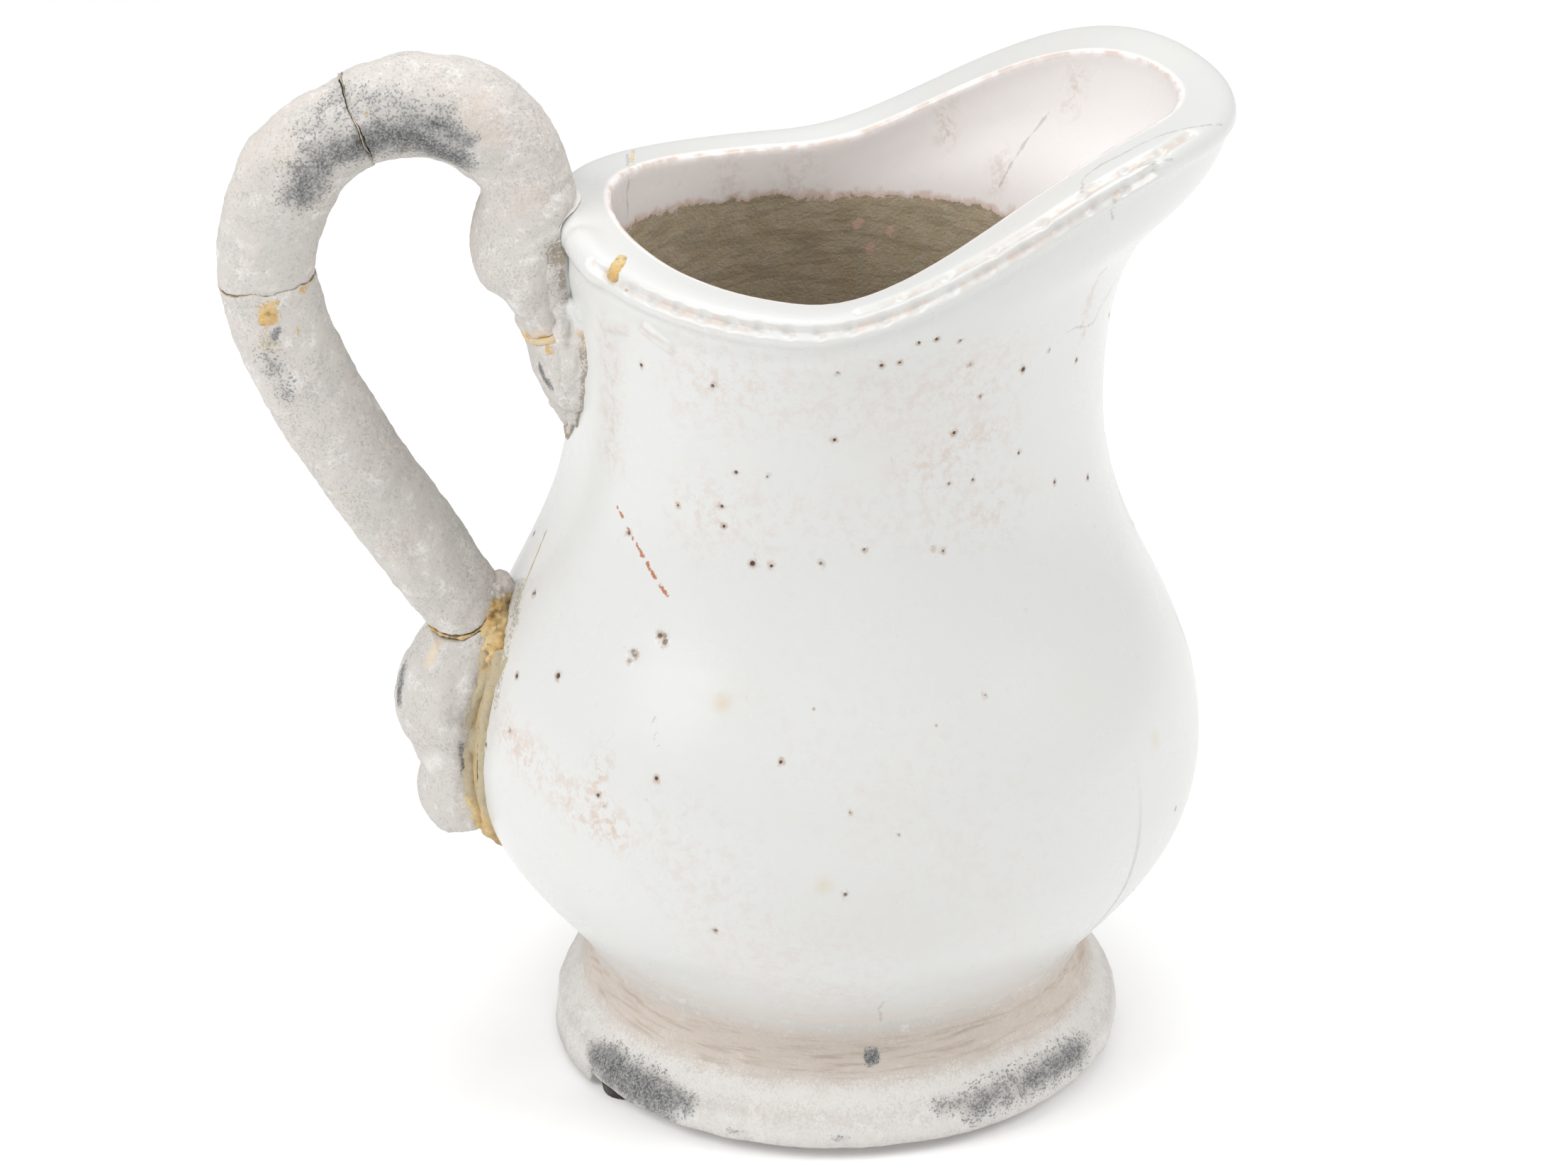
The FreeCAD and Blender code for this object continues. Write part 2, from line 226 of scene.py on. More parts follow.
def ring_faces(rings, size, closed=False):
    """Faces between rings of that many points each, and from the last ring to the first if closed."""
    faces = []
    for ring in range(rings if closed else rings - 1):
        here, there = ring * size, (ring + 1) % rings * size
        for step in range(size):
            after = (step + 1) % size
            faces.append((here + step, here + after, there + after, there + step))
    return faces


def changed(mesh, kind, **settings):
    """A mesh as it is after one modifier."""
    holder = placed("holder", mesh)
    modifier = holder.modifiers.new("change", kind)
    for key, value in settings.items():
        setattr(modifier, key, value)
    depsgraph = bpy.context.evaluated_depsgraph_get()
    result = bpy.data.meshes.new_from_object(holder.evaluated_get(depsgraph))
    bpy.data.objects.remove(holder)
    return result


def grain(points, size, seed):
    """Smooth noise from about -1 to 1 with features of that size."""
    shift = Vector((seed * 7.31, seed * 3.17, seed * 5.77))
    return np.array([noise.noise(Vector(point) / size + shift) for point in points])


def paint(points, strokes):
    """How strongly strokes cover each point: full on the line and nothing at its radius."""
    cover = np.zeros(len(points))
    for start, end, radius, strength in strokes:
        start, line = np.array(start), np.array(end) - np.array(start)
        share = np.clip((points - start) @ line / max(line @ line, 1e-9), 0, 1)
        gap = np.linalg.norm(points - start - share[:, None] * line, axis=1)
        cover = np.maximum(cover, strength * np.clip(1 - gap / radius, 0, 1))
    return cover


def strokes_on(finder, rows):
    """Strokes from rows of (place, place, radius, strength), found on a surface."""
    return [(finder(*start), finder(*end), radius, strength) for start, end, radius, strength in rows]


def dots_on(finder, places, radius, strength=1.0):
    return [(finder(*place), finder(*place), radius, strength) for place in places]


def travelled(places):
    """Distance along a line of points at each of them."""
    return np.concatenate([[0], np.cumsum(np.linalg.norm(np.diff(places, axis=0), axis=1))])


def turns(points):
    """Angle of each point round the axis."""
    return np.degrees(np.arctan2(points[:, 1], points[:, 0])) % 360


def eased(share):
    share = np.clip(share, 0, 1)
    return share * share * (3 - 2 * share)


def sculpted(points, normals, strokes):
    """Points pushed along their normals under strokes, whose strength is in millimetres."""
    for start, end, radius, height in strokes:
        cover = eased(paint(points, [(start, end, radius, 1.0)]))
        points = points + normals * (height * cover)[:, None]
    return points


def in_plane(reach, height, across=0.0):
    """Point beside the handle's own plane, wherever the surface is."""
    return OUTWARD * reach + UP * height + ACROSS * across


def bars(rows):
    """Strokes square to the handle's plane, from (reach, height, half length, radius, strength)."""
    return [
        (in_plane(reach, height, -half), in_plane(reach, height, half), radius, strength)
        for reach, height, half, radius, strength in rows
    ]


# --- Materials ---
class Painter:
    """Short names for building one material's nodes."""

    def __init__(self, name):
        self.material = bpy.data.materials.new(name)
        self.material.use_nodes = True
        self.tree = self.material.node_tree
        self.tree.nodes.clear()
        self.place = self.add("ShaderNodeTexCoord").outputs["Object"]

    def add(self, kind, settings=None, inputs=None):
        made = self.tree.nodes.new(kind)
        for key, value in (settings or {}).items():
            setattr(made, key, value)
        for key, value in (inputs or {}).items():
            self.put(made.inputs[key], value)
        return made

    def put(self, socket, value):
        if isinstance(value, bpy.types.NodeSocket):
            self.tree.links.new(value, socket)
        elif isinstance(value, tuple) and socket.type == "RGBA":
            socket.default_value = (*value, 1)
        else:
            socket.default_value = value

    def layer(self, name):
        return self.add("ShaderNodeAttribute", {"attribute_name": name}).outputs["Fac"]

    def stretched(self, x, y, z):
        """Coordinates scaled along each axis, for streaks."""
        inputs = {"Vector": self.place, "Scale": (x, y, z)}
        return self.add("ShaderNodeMapping", None, inputs).outputs["Vector"]

    def noise(self, size, detail=3.0, rough=0.5, place=None):
        inputs = {
            "Vector": place or self.place,
            "Scale": 1 / (size * MM),
            "Detail": detail,
            "Roughness": rough,
        }
        return self.add("ShaderNodeTexNoise", None, inputs).outputs["Fac"]

    def cells(self, size, output="Distance"):
        inputs = {"Vector": self.place, "Scale": 1 / (size * MM)}
        return self.add("ShaderNodeTexVoronoi", {"feature": "F1"}, inputs).outputs[output]

    def math(self, operation, a, b=0.0):
        return self.add("ShaderNodeMath", {"operation": operation}, {0: a, 1: b}).outputs[0]

    def times(self, a, b):
        return self.math("MULTIPLY", a, b)

    def plus(self, a, b):
        return self.math("ADD", a, b)

    def uneven(self, *settings, amount=None):
        """Noise about nought, for ragged edges."""
        centred = self.plus(self.noise(*settings), -0.5)
        return self.times(centred, amount) if amount else centred

    def remap(self, value, low, high, start=0.0, end=1.0):
        """Smooth step from start to end as value goes from low to high."""
        inputs = {"Value": value, 1: low, 2: high, 3: start, 4: end}
        return self.add("ShaderNodeMapRange", {"interpolation_type": "SMOOTHSTEP"}, inputs).outputs[0]

    def blend(self, share, a, b):
        inputs = {0: share, 6: a, 7: b}
        return self.add("ShaderNodeMix", {"data_type": "RGBA"}, inputs).outputs[2]

    def bump(self, height, depth, normal=None):
        inputs = {"Height": height, "Distance": depth * MM, "Strength": 1.0}
        if normal:
            inputs["Normal"] = normal
        return self.add("ShaderNodeBump", None, inputs).outputs["Normal"]

    def finish(self, colour, roughness, normal, **plain):
        """Principled surface; plain values go on its own sockets."""
        inputs = {"Base Color": colour, "Roughness": roughness, "Normal": normal}
        inputs.update({key.replace("_", " "): value for key, value in plain.items()})
        surface = self.add("ShaderNodeBsdfPrincipled", None, inputs)
        output = self.add("ShaderNodeOutputMaterial")
        self.tree.links.new(surface.outputs[0], output.inputs[0])
        return self.material


GLAZE_WHITE = (0.655, 0.662, 0.645)
GLAZE_WARM = (0.65, 0.63, 0.61)
INSIDE_GLAZE_PAINTED_LIGHT = (0.87, 0.83, 0.815)
WORN_PINK = (0.57, 0.435, 0.355)
HALO_BROWN = (0.40, 0.26, 0.17)
HOLE_PAINTED_SHADE = (0.085, 0.055, 0.036)
RAW_CLAY = (0.42, 0.34, 0.225)
RAW_CLAY_PALE = (0.50, 0.42, 0.31)
RAW_CLAY_GREY = (0.40, 0.38, 0.30)
RAW_CLAY_DARK = (0.25, 0.205, 0.135)
RAW_PINK = (0.62, 0.42, 0.33)
SCRATCH_ORANGE = (0.44, 0.17, 0.09)
BEIGE_AND_COVE_SHADE = (0.60, 0.52, 0.45)
COVE_BROWN = (0.43, 0.35, 0.28)
BISQUE = (0.592, 0.56, 0.528)
BISQUE_PINK = (0.63, 0.582, 0.548)
BISQUE_GREY = (0.52, 0.51, 0.485)
CHALK_AND_PAINTED_LIGHT = (0.78, 0.765, 0.74)
CRACK_BROWN = (0.25, 0.19, 0.15)
GRIME = (0.30, 0.28, 0.22)
PEPPER = (0.36, 0.35, 0.33)
PEACH = (0.72, 0.60, 0.44)
OLIVE = (0.42, 0.37, 0.26)
ASH = (0.27, 0.268, 0.26)
CHARCOAL = (0.075, 0.078, 0.082)
SOOT_GREY = (0.27, 0.27, 0.27)
DIRT = (0.26, 0.225, 0.17)
OCHRE = (0.58, 0.37, 0.125)
OCHRE_PALE = (0.60, 0.46, 0.24)
UMBER = (0.20, 0.11, 0.035)
PALE_YELLOW = (0.72, 0.585, 0.34)
PAD_BROWN = (0.028, 0.022, 0.018)


def glaze_material():
    """White glaze with stains, pinholes, worn edges and the raw clay inside the vessel. Inside, the glaze is
    painted paler as painted light; the middles of the holes are painted shade, and the hollow over the foot
    is partly painted shade.
    """
    p = Painter("glazed_earthenware")
    clouds = p.remap(p.noise(38, 2), 0.42, 0.7)
    colour = p.blend(p.times(clouds, 0.45), GLAZE_WHITE, GLAZE_WARM)
    # painted light: the same glaze gets a paler colour inside the vessel, where less light reaches
    colour = p.blend(p.layer("inside"), colour, INSIDE_GLAZE_PAINTED_LIGHT)

    veins = p.remap(p.math("ABSOLUTE", p.uneven(5, 6, 0.7)), 0.0, 0.05, 1, 0)
    veins = p.times(veins, p.remap(p.noise(2.6, 4, 0.6), 0.46, 0.58))
    smudge = p.times(p.remap(p.noise(3.2, 5, 0.72), 0.48, 0.62), 0.9)
    stain = p.times(p.layer("stain"), p.math("MAXIMUM", p.times(veins, 0.8), smudge))
    colour = p.blend(stain, colour, WORN_PINK)

    broken = p.uneven(2.2, 3, amount=2.4)
    crack = p.remap(p.plus(p.layer("crack"), broken), 0.45, 0.95)
    colour = p.blend(p.times(crack, 0.34), colour, CRACK_BROWN)
    grime = p.plus(p.layer("grime"), p.uneven(0.8, 4, 0.7, amount=3.2))
    grime = p.times(p.remap(grime, 0.45, 0.75), p.remap(p.layer("grime"), 0.0, 0.3))
    colour = p.blend(p.times(grime, 0.75), colour, GRIME)

    # the hollow over the foot: partly bare clay, partly painted shade, darker towards the bottom
    colour = p.blend(p.times(p.layer("cove"), 0.85), colour, BEIGE_AND_COVE_SHADE)
    colour = p.blend(p.times(p.layer("yellow"), 0.5), colour, OCHRE_PALE)
    worn = p.times(p.layer("worn"), p.remap(p.noise(5, 4, 0.6), 0.38, 0.6))
    colour = p.blend(p.times(worn, 0.75), colour, WORN_PINK)

    speck_on = p.remap(p.cells(11, "Color"), 0.80, 0.82)
    speck = p.times(p.remap(p.cells(11), 0.03, 0.055, 1, 0), speck_on)
    colour = p.blend(p.times(speck, 0.7), colour, HALO_BROWN)

    hole = p.layer("hole")
    frayed = p.uneven(1.6, 4, 0.65, amount=1.3)
    halo = p.times(p.remap(p.plus(p.layer("halo"), frayed), 0.2, 0.75), 0.65)
    colour = p.blend(halo, colour, HALO_BROWN)
    # painted shade: the middles of pinholes and pits are painted near black
    colour = p.blend(p.remap(hole, 0.35, 0.75), colour, HOLE_PAINTED_SHADE)
    scratch = p.plus(p.layer("scratch"), p.uneven(1.1, 4, 0.7, amount=2.6))
    scratch = p.times(p.remap(scratch, 0.5, 0.8), p.remap(p.layer("scratch"), 0.0, 0.3))
    colour = p.blend(scratch, colour, SCRATCH_ORANGE)

    depth = p.plus(p.layer("raw"), p.uneven(6, 6, 0.65, amount=9))
    raw = p.remap(depth, -0.25, 0.25)
    clay = p.blend(p.remap(p.noise(7, 6, 0.7), 0.35, 0.7), RAW_CLAY, RAW_CLAY_PALE)
    smear = p.remap(p.noise(5, 4, 0.6, p.stretched(1, 1, 0.25)), 0.5, 0.72)
    clay = p.blend(p.times(smear, 0.45), clay, RAW_CLAY_GREY)
    rings = p.remap(p.noise(3.5, 4, 0.65, p.stretched(0.3, 0.3, 1.6)), 0.46, 0.6)
    clay = p.blend(p.times(rings, 0.45), clay, RAW_CLAY_DARK)
    clay = p.blend(p.remap(p.layer("pale_dot"), 0.2, 0.45), clay, RAW_PINK)
    colour = p.blend(p.remap(depth, -2.4, -0.2, 0, 0.7), colour, RAW_PINK)
    colour = p.blend(raw, colour, clay)

    rough = p.plus(0.2, p.times(p.noise(20, 3), 0.16))
    matt = p.math("MAXIMUM", raw, p.math("MAXIMUM", p.layer("cove"), hole))
    rough = p.math("MAXIMUM", rough, p.times(matt, 0.8))
    normal = p.bump(p.noise(3.2, 2), 0.035)
    normal = p.bump(p.times(raw, p.noise(0.9, 4, 0.7)), 0.5, normal)
    return p.finish(colour, rough, normal, IOR=1.5)


def clay_material():
    """Bare fired clay, worn to charcoal in patches, with ochre and dirt left on it."""
    p = Painter("bare_fired_clay")
    coarse = p.uneven(4.2, 4, 0.6)
    fine = p.uneven(0.6, 2, 0.6)
    grit = p.plus(p.cells(0.45, "Color"), -0.5)
    colour = p.blend(p.remap(p.noise(26, 3), 0.38, 0.66), BISQUE, BISQUE_PINK)
    mottle = p.remap(p.plus(p.noise(6.5, 5, 0.66), p.times(grit, 0.3)), 0.44, 0.68)
    colour = p.blend(p.times(mottle, 0.75), colour, BISQUE_GREY)
    chalk = p.remap(p.plus(p.noise(5, 5, 0.65), p.times(fine, 0.35)), 0.53, 0.70)
    colour = p.blend(p.times(chalk, 0.65), colour, CHALK_AND_PAINTED_LIGHT)
    pepper = p.remap(p.plus(grit, p.uneven(13, 3, amount=0.9)), 0.17, 0.34)
    colour = p.blend(p.times(pepper, 0.38), colour, PEPPER)

    edge = p.plus(p.plus(p.times(coarse, 1.1), p.times(grit, 1.25)), p.times(fine, 0.7))
    dark = p.times(p.remap(p.plus(p.layer("dark"), edge), 0.42, 0.66), p.remap(p.layer("dark"), 0.0, 0.16))
    veil = p.remap(p.plus(p.layer("dark"), p.times(coarse, 0.9)), 0.08, 0.7, 0, 0.72)
    soot = p.blend(p.remap(p.plus(fine, p.times(grit, 0.9)), -0.15, 0.3), CHARCOAL, SOOT_GREY)
    stains = [
        # layer, how ragged its edge is, where it starts and is full, opacity, colour
        ("dirt", 0.7, 0.25, 0.95, 0.8, DIRT), ("olive", 0.8, 0.25, 0.95, 0.75, OLIVE),
        # beige: real patches on the handle, and painted shade in the hollow over the foot
        ("beige", 0.8, 0.2, 0.9, 0.8, BEIGE_AND_COVE_SHADE), ("peach", 0.7, 0.25, 0.7, 0.8, PEACH),
        ("ochre", 0.5, 0.3, 0.6, 0.85, OCHRE),
        # white: chalky patches, and on the foot painted light
        ("white", 0.5, 0.25, 0.85, 0.75, CHALK_AND_PAINTED_LIGHT), ("glaze", 0.35, 0.2, 0.9, 1.0, GLAZE_WHITE),
    ]
    for name, ragged, start, full, opacity, stain in stains:
        cover = p.remap(p.plus(p.layer(name), p.times(edge, ragged)), start, full, 0, opacity)
        colour = p.blend(p.times(cover, p.remap(p.layer(name), 0.0, 0.2)), colour, stain)
    streaks = p.remap(p.noise(1.5, 4, 0.7, p.stretched(0.1, 0.1, 1.2)), 0.46, 0.68)
    streaks = p.times(streaks, p.remap(p.layer("beige"), 0.45, 1.0))
    colour = p.blend(p.times(streaks, 0.75), colour, COVE_BROWN)
    colour = p.blend(p.times(veil, p.remap(p.layer("dark"), 0.0, 0.2)), colour, ASH)
    colour = p.blend(p.times(dark, 0.9), colour, soot)
    normal = p.bump(p.noise(2.6, 5, 0.65), 0.5)
    normal = p.bump(p.noise(0.6, 3, 0.7), 0.2, normal)
    rough = p.remap(p.noise(8, 3), 0.3, 0.7, 0.74, 0.95)
    rough = p.plus(rough, p.times(p.layer("glaze"), -0.4))
    return p.finish(colour, rough, normal)


def adhesive_material():
    """Aged ochre filler, glossy where it ran and brown where dirt sits in it."""
    p = Painter("aged_adhesive")
    coarse = p.uneven(2.4, 5, 0.7, amount=1.1)
    fine = p.uneven(0.8, 3, amount=0.5)
    edge = p.plus(coarse, fine)
    colour = p.blend(p.remap(p.noise(5, 4), 0.38, 0.62), OCHRE, OCHRE_PALE)
    stains = [
        # layer, where it starts and is full, opacity, colour
        ("pale", 0.3, 0.8, 0.9, PALE_YELLOW), ("brown", 0.2, 0.9, 0.95, UMBER),
        ("dirt", 0.2, 0.8, 0.85, OLIVE), ("grey", 0.3, 0.7, 0.9, BISQUE), ("white", 0.3, 0.7, 0.95, CHALK_AND_PAINTED_LIGHT),
    ]
    for name, start, full, opacity, stain in stains:
        cover = p.remap(p.plus(p.layer(name), edge), start, full, 0, opacity)
        colour = p.blend(p.times(cover, p.remap(p.layer(name), 0.0, 0.15)), colour, stain)
    specks = p.times(p.remap(p.noise(0.9, 3, 0.6), 0.60, 0.72), 0.7)
    colour = p.blend(specks, colour, DIRT)
    normal = p.bump(p.noise(1.6, 5, 0.6), 0.35)
    return p.finish(colour, p.remap(p.noise(5, 3), 0.35, 0.65, 0.45, 0.8), normal)


def rubber_material():
    p = Painter("pad_rubber")
    colour = p.blend(p.remap(p.noise(2.2, 4), 0.4, 0.7), PAD_BROWN, (0.075, 0.062, 0.052))
    return p.finish(colour, 0.62, p.bump(p.noise(0.7, 3), 0.06))


# --- Vessel ---
COLUMNS = 360                  # one column of points for each degree round the axis
RIM_STRETCH = (34.0, 40)       # the outermost part of a profile by the rim, and its steps
OUTER_STEPS = 118
BASE_STRETCH = (58.0, 10)      # flat bottom, hidden in the foot
THROAT_STRETCH = (14.0, 14)
INNER_STEPS = 74
FLOOR_STRETCH = (44.0, 9)
SLOT_MARGIN = 1.0              # degrees left out each side of a filled slot


def welded(node):
    """Points and triangles of a CAD node, with doubled points joined."""
    mesh = cad(node)
    mesh.calc_loop_triangles()
    corners = np.empty(len(mesh.loop_triangles) * 3, int)
    mesh.loop_triangles.foreach_get("vertices", corners)
    points = read_points(mesh)
    _, first, index = np.unique(np.round(points, 3), axis=0, return_index=True, return_inverse=True)
    triangles = index.ravel()[corners].reshape(-1, 3)
    whole = (triangles != np.roll(triangles, 1, 1)).all(1)
    return points[first], triangles[whole]


def plane_loop(points, triangles, angle):
    """(reach, height) round the loop where an upright plane through the axis cuts the vessel."""
    reach = points @ np.array(spoke(angle))
    off = points @ np.array(spoke(angle + 90)) + 1e-7
    side = off[triangles] > 0
    cut = triangles[side.any(1) & ~side.all(1)]
    edges = np.stack([cut, np.roll(cut, -1, 1)], 2)
    crossing = (off[edges[..., 0]] > 0) != (off[edges[..., 1]] > 0)
    ends, index = np.unique(np.sort(edges[crossing], 1), axis=0, return_inverse=True)
    a, b = ends.T
    share = off[a] / (off[a] - off[b])
    loop = np.stack([reach, points[:, 2]], 1)
    spots = loop[a] + (loop[b] - loop[a]) * share[:, None]
    linked = {}
    for one, other in index.reshape(-1, 2):
        linked.setdefault(one, []).append(other)
        linked.setdefault(other, []).append(one)
    order = [int(np.argmin(spots[:, 1] + 0.001 * abs(spots[:, 0])))]
    order.append(max(linked[order[0]], key=lambda spot: spots[spot, 0]))
    while len(order) < len(spots):
        onward = [spot for spot in linked[order[-1]] if spot != order[-2]]
        if not onward or onward[0] == order[0]:
            break
        order.append(onward[0])
    return spots[order]


def half_profiles(loop):
    """The two profiles of a loop, each from the bottom's middle to the floor's middle."""
    low_half = loop[:, 0] > 0
    turn = int(np.argmin(low_half)) if low_half[0] else int(np.argmin(low_half[1:])) + 1
    near, far = loop[:turn], loop[turn:][::-1] * (-1, 1)
    return near[near[:, 0] > 0], far[far[:, 0] > 0]


def stretch(start, end, steps):
    return list(np.linspace(start, end, steps, endpoint=False))


def resampled(profile):
    """Profile at the grid's rows, the row distances from the inner arris, outside negative."""
    distance = travelled(profile)
    arris = distance[np.argmax(profile[:, 1] - profile[:, 0])]
    rim = arris - RIM_STRETCH[0]
    throat = arris + THROAT_STRETCH[0]
    floor = distance[-1] - FLOOR_STRETCH[0]
    rows = stretch(0, *BASE_STRETCH)
    rows += stretch(BASE_STRETCH[0], rim, OUTER_STEPS)
    rows += stretch(rim, arris, RIM_STRETCH[1])
    rows += stretch(arris, throat, THROAT_STRETCH[1])
    rows += stretch(throat, floor, INNER_STEPS)
    rows += stretch(floor, distance[-1], FLOOR_STRETCH[1]) + [distance[-1]]
    reach = np.interp(rows, distance, profile[:, 0])
    height = np.interp(rows, distance, profile[:, 1])
    return np.stack([reach, height, np.array(rows) - arris], 1)


def slot_columns(node):
    """Columns that a filled slot crosses."""
    angles = turns(read_points(cad(node)))
    low, high = angles.min() - SLOT_MARGIN, angles.max() + SLOT_MARGIN
    return range(math.floor(low), math.ceil(high) + 1)


def vessel_columns():
    """Columns by rows of (reach, height, distance from the arris)."""
    points, triangles = welded("vessel_body")
    grid = [None] * COLUMNS
    for angle in range(COLUMNS // 2):
        near, far = half_profiles(plane_loop(points, triangles, angle))
        grid[angle] = resampled(near)
        grid[angle + COLUMNS // 2] = resampled(far)
    grid = np.array(grid)
    for node in ("rim_crack_filler", "rim_chip_filler"):
        columns = slot_columns(node)
        first, last = columns[0] - 1, columns[-1] + 1
        for column in columns:
            share = (column - first) / (last - first)
            grid[column] = grid[first] * (1 - share) + grid[last] * share
    return grid


def vessel_grid_mesh(grid):
    """Closed mesh from the columns, with a fan at each end."""
    rows = grid.shape[1]
    points = [
        spoke(column) * grid[column, row, 0] + UP * grid[column, row, 1]
        for row in range(rows - 1)
        for column in range(COLUMNS)
    ]
    faces = ring_faces(rows - 1, COLUMNS)
    for ring, height, order in ((0, grid[0, 0, 1], -1), (rows - 2, grid[0, -1, 1], 1)):
        points.append(UP * height)
        for column in range(COLUMNS):
            pair = [ring * COLUMNS + column, ring * COLUMNS + (column + 1) % COLUMNS][::order]
            faces.append((*pair, len(points) - 1))
    mesh = bpy.data.meshes.new("vessel")
    mesh.from_pydata([world(point) for point in points], [], faces)
    from_arris = grid[:, : rows - 1, 2].T.ravel()
    set_layer(mesh, "from_arris", np.concatenate([from_arris, [-FAR, FAR]]))
    return mesh


PIN_ZONES = [
    # how many pinholes crowd together, between which angles and heights
    (10, (242, 304), (152, 178)), (6, (242, 300), (182, 214)),
    (4, (300, 322), (165, 208)), (4, (210, 305), (100, 136)),
]
SCATTERED_PINHOLES = (34, (200, 560), (60, 212))      # the same, over the whole outside
PIN_SIZE = 0.46
PIN_DEPTH = 0.4
PIT_AND_CHIP_SHADOW_PLACES = [(231, 129), (236, 135), (198, 128)]     # clusters of pits: angle, height; the last stands for a lifted chip, its shadow painted as small dark dents
PITS_EACH = 3
SCRAPE = [(218, 159), (236, 143)]                     # a scrape runs between these: angle, height
SCRAPE_DASHES = 5
CRAWLED = [((214, 203), (222, 205)), ((227, 207), (234, 204))]   # short lines where the glaze crawled back
ROOT_SWELLING = ((203, 220), (211, 216), 7, 1.3)                 # the wall bulges beside the root
# Strokes of colour: the place at each end, size, strength
STAINS = [
    ((205, 100), (235, 90), 9, 0.95), ((230, 105), (230, 95), 6, 0.9), ((215, 200), (215, 170), 8, 0.6),
    ((288, 178), (303, 184), 12, 0.6), ((330, 200), (326, 218), 3, 1.0), ((245, 90), (270, 50), 30, 0.3),
    ((270, 120), (300, 90), 40, 0.15),
]
STAINS_INSIDE = [
    ((62, 225), (62, 217), 4, 0.6), ((32, 238), (32, 230), 5, 0.5), ((46, 215), (46, 209), 5, 0.5),
    ((100, 209), (100, 203), 9, 0.45), ((120, 210), (120, 204), 7, 0.4),
]
GRIME_MARKS = [
    ((190, 125), (195, 120), 5, 0.85), ((195, 120), (200, 103), 3.5, 0.75),
    ((200, 221), (200, 214), 3, 0.6), ((238, 118), (240, 112), 1.2, 0.5),
]
YELLOW_DOTS = [(268, 85), (330, 100)]
YELLOW_STAIN = (250, 124)


def scattered(count, seed, angles, heights):
    draw = random.Random(seed)
    return [(draw.uniform(*angles), draw.uniform(*heights)) for _ in range(count)]


def between(start, end, share):
    return tuple(first + (last - first) * share for first, last in zip(start, end))


def pits():
    """Clustered pits, and the dark dents that paint the shadow under a lifted chip, as (place, size)."""
    draw = random.Random(12)
    return [
        ((angle + draw.uniform(-0.9, 0.9), height + draw.uniform(-1.2, 1.2)), draw.uniform(0.45, 0.8))
        for angle, height in PIT_AND_CHIP_SHADOW_PLACES for _ in range(PITS_EACH)
    ]


def scrape_dashes():
    """A scrape that skipped as it ran down the belly."""
    draw = random.Random(3)
    dashes = []
    for dash in range(SCRAPE_DASHES):
        start = (dash + draw.uniform(0, 0.25)) / SCRAPE_DASHES
        end = start + draw.uniform(0.35, 0.75) / SCRAPE_DASHES
        dashes.append((between(*SCRAPE, start), between(*SCRAPE, end), draw.uniform(0.8, 1.4), 1.1))
    return dashes


def refined(mesh, centres, reach, cuts):
    """Gives a mesh finer faces within reach of any centre."""
    work = bmesh.new()
    work.from_mesh(mesh)
    work.faces.ensure_lookup_table()
    tree = KDTree(len(work.faces))
    for face in work.faces:
        tree.insert(face.calc_center_median(), face.index)
    tree.balance()
    near = {found[1] for centre in centres for found in tree.find_range(world(centre), reach * MM)}
    edges = {edge for index in near for edge in work.faces[index].edges}
    bmesh.ops.subdivide_edges(work, edges=list(edges), cuts=cuts, use_grid_fill=True)
    work.to_mesh(mesh)
    work.free()


def wobble(points, size, seed):
    """Slow unevenness of a hand-formed wall, from -1 to 1."""
    draw = np.random.default_rng(seed)
    waves = draw.normal(size=(7, 3)) / size
    return np.sin(points @ waves.T + draw.uniform(0, math.tau, 7)).mean(1)


def press_holes(points, normals, holes):
    """Pits with a soft raised lip. Each hole is (centre, radius, depth)."""
    moved = points.copy()
    for centre, radius, depth in holes:
        gap = np.linalg.norm(points - np.array(centre), axis=1) / radius
        near = gap < 2.2
        bowl = -depth * np.clip(1 - gap[near] ** 2, 0, 1)
        lip = 0.14 * depth * np.exp(-(((gap[near] - 1.35) / 0.35) ** 2))
        moved[near] += normals[near] * (bowl + lip)[:, None]
    return moved


UPPER_CREASE_ANGLES = range(274, 340, 8)
UPPER_CREASE_INSET = 2.4       # how far it runs inside the rim's edge
LOWER_CREASE_ANGLES = range(212, 330, 6)
LOWER_CREASE_DROP = 2.4        # how far it runs below the rim's crest


def chained(places, radius, strength):
    return [(start, end, radius, strength) for start, end in zip(places, places[1:])]


def crease_lines():
    """The creases where the collar stands off the rim and the neck, as lines of points."""
    upper = [on_rim(angle, rim_edge(angle)[0] - UPPER_CREASE_INSET) for angle in UPPER_CREASE_ANGLES]
    lower = [on_vessel(angle, rim_edge(angle)[1] - LOWER_CREASE_DROP) for angle in LOWER_CREASE_ANGLES]
    return [upper, lower]


def crease_strokes(radius, strength):
    return [stroke for line in crease_lines() for stroke in chained(line, radius, strength)]


CRACKS = [
    # the surface it is on, and the places it passes: angle with a radius on the rim, or with a height
    (on_rim, [(346, 91), (330, 77), (320, 73), (314, 78)]),
    (on_rim, [(315, 77), (330, 87)]),
    (on_vessel, [(318, 243), (319, 236)]),
    (in_vessel, [(37, 228), (45, 208)]),
    (on_vessel, [(340, 210), (334, 201), (322, 203)]),
    (on_rim, [(143, 61), (155, 55)]),
    (in_vessel, [(159, 218), (161, 206)]),
    (on_vessel, [(279, 44), (280, 32)]),
]
CRACK_SWAY = 1.0


def crack_lines():
    """Hairline cracks in the glaze, as lines of points that wander between their places."""
    draw = random.Random(17)
    lines = []
    for finder, places in CRACKS:
        line = [places[0]]
        for start, end in zip(places, places[1:]):
            for share in (0.3, 0.65):
                place = between(start, end, share)
                line.append(tuple(value + draw.uniform(-1, 1) * CRACK_SWAY for value in place))
            line.append(end)
        lines.append([finder(*place) for place in line])
    return lines


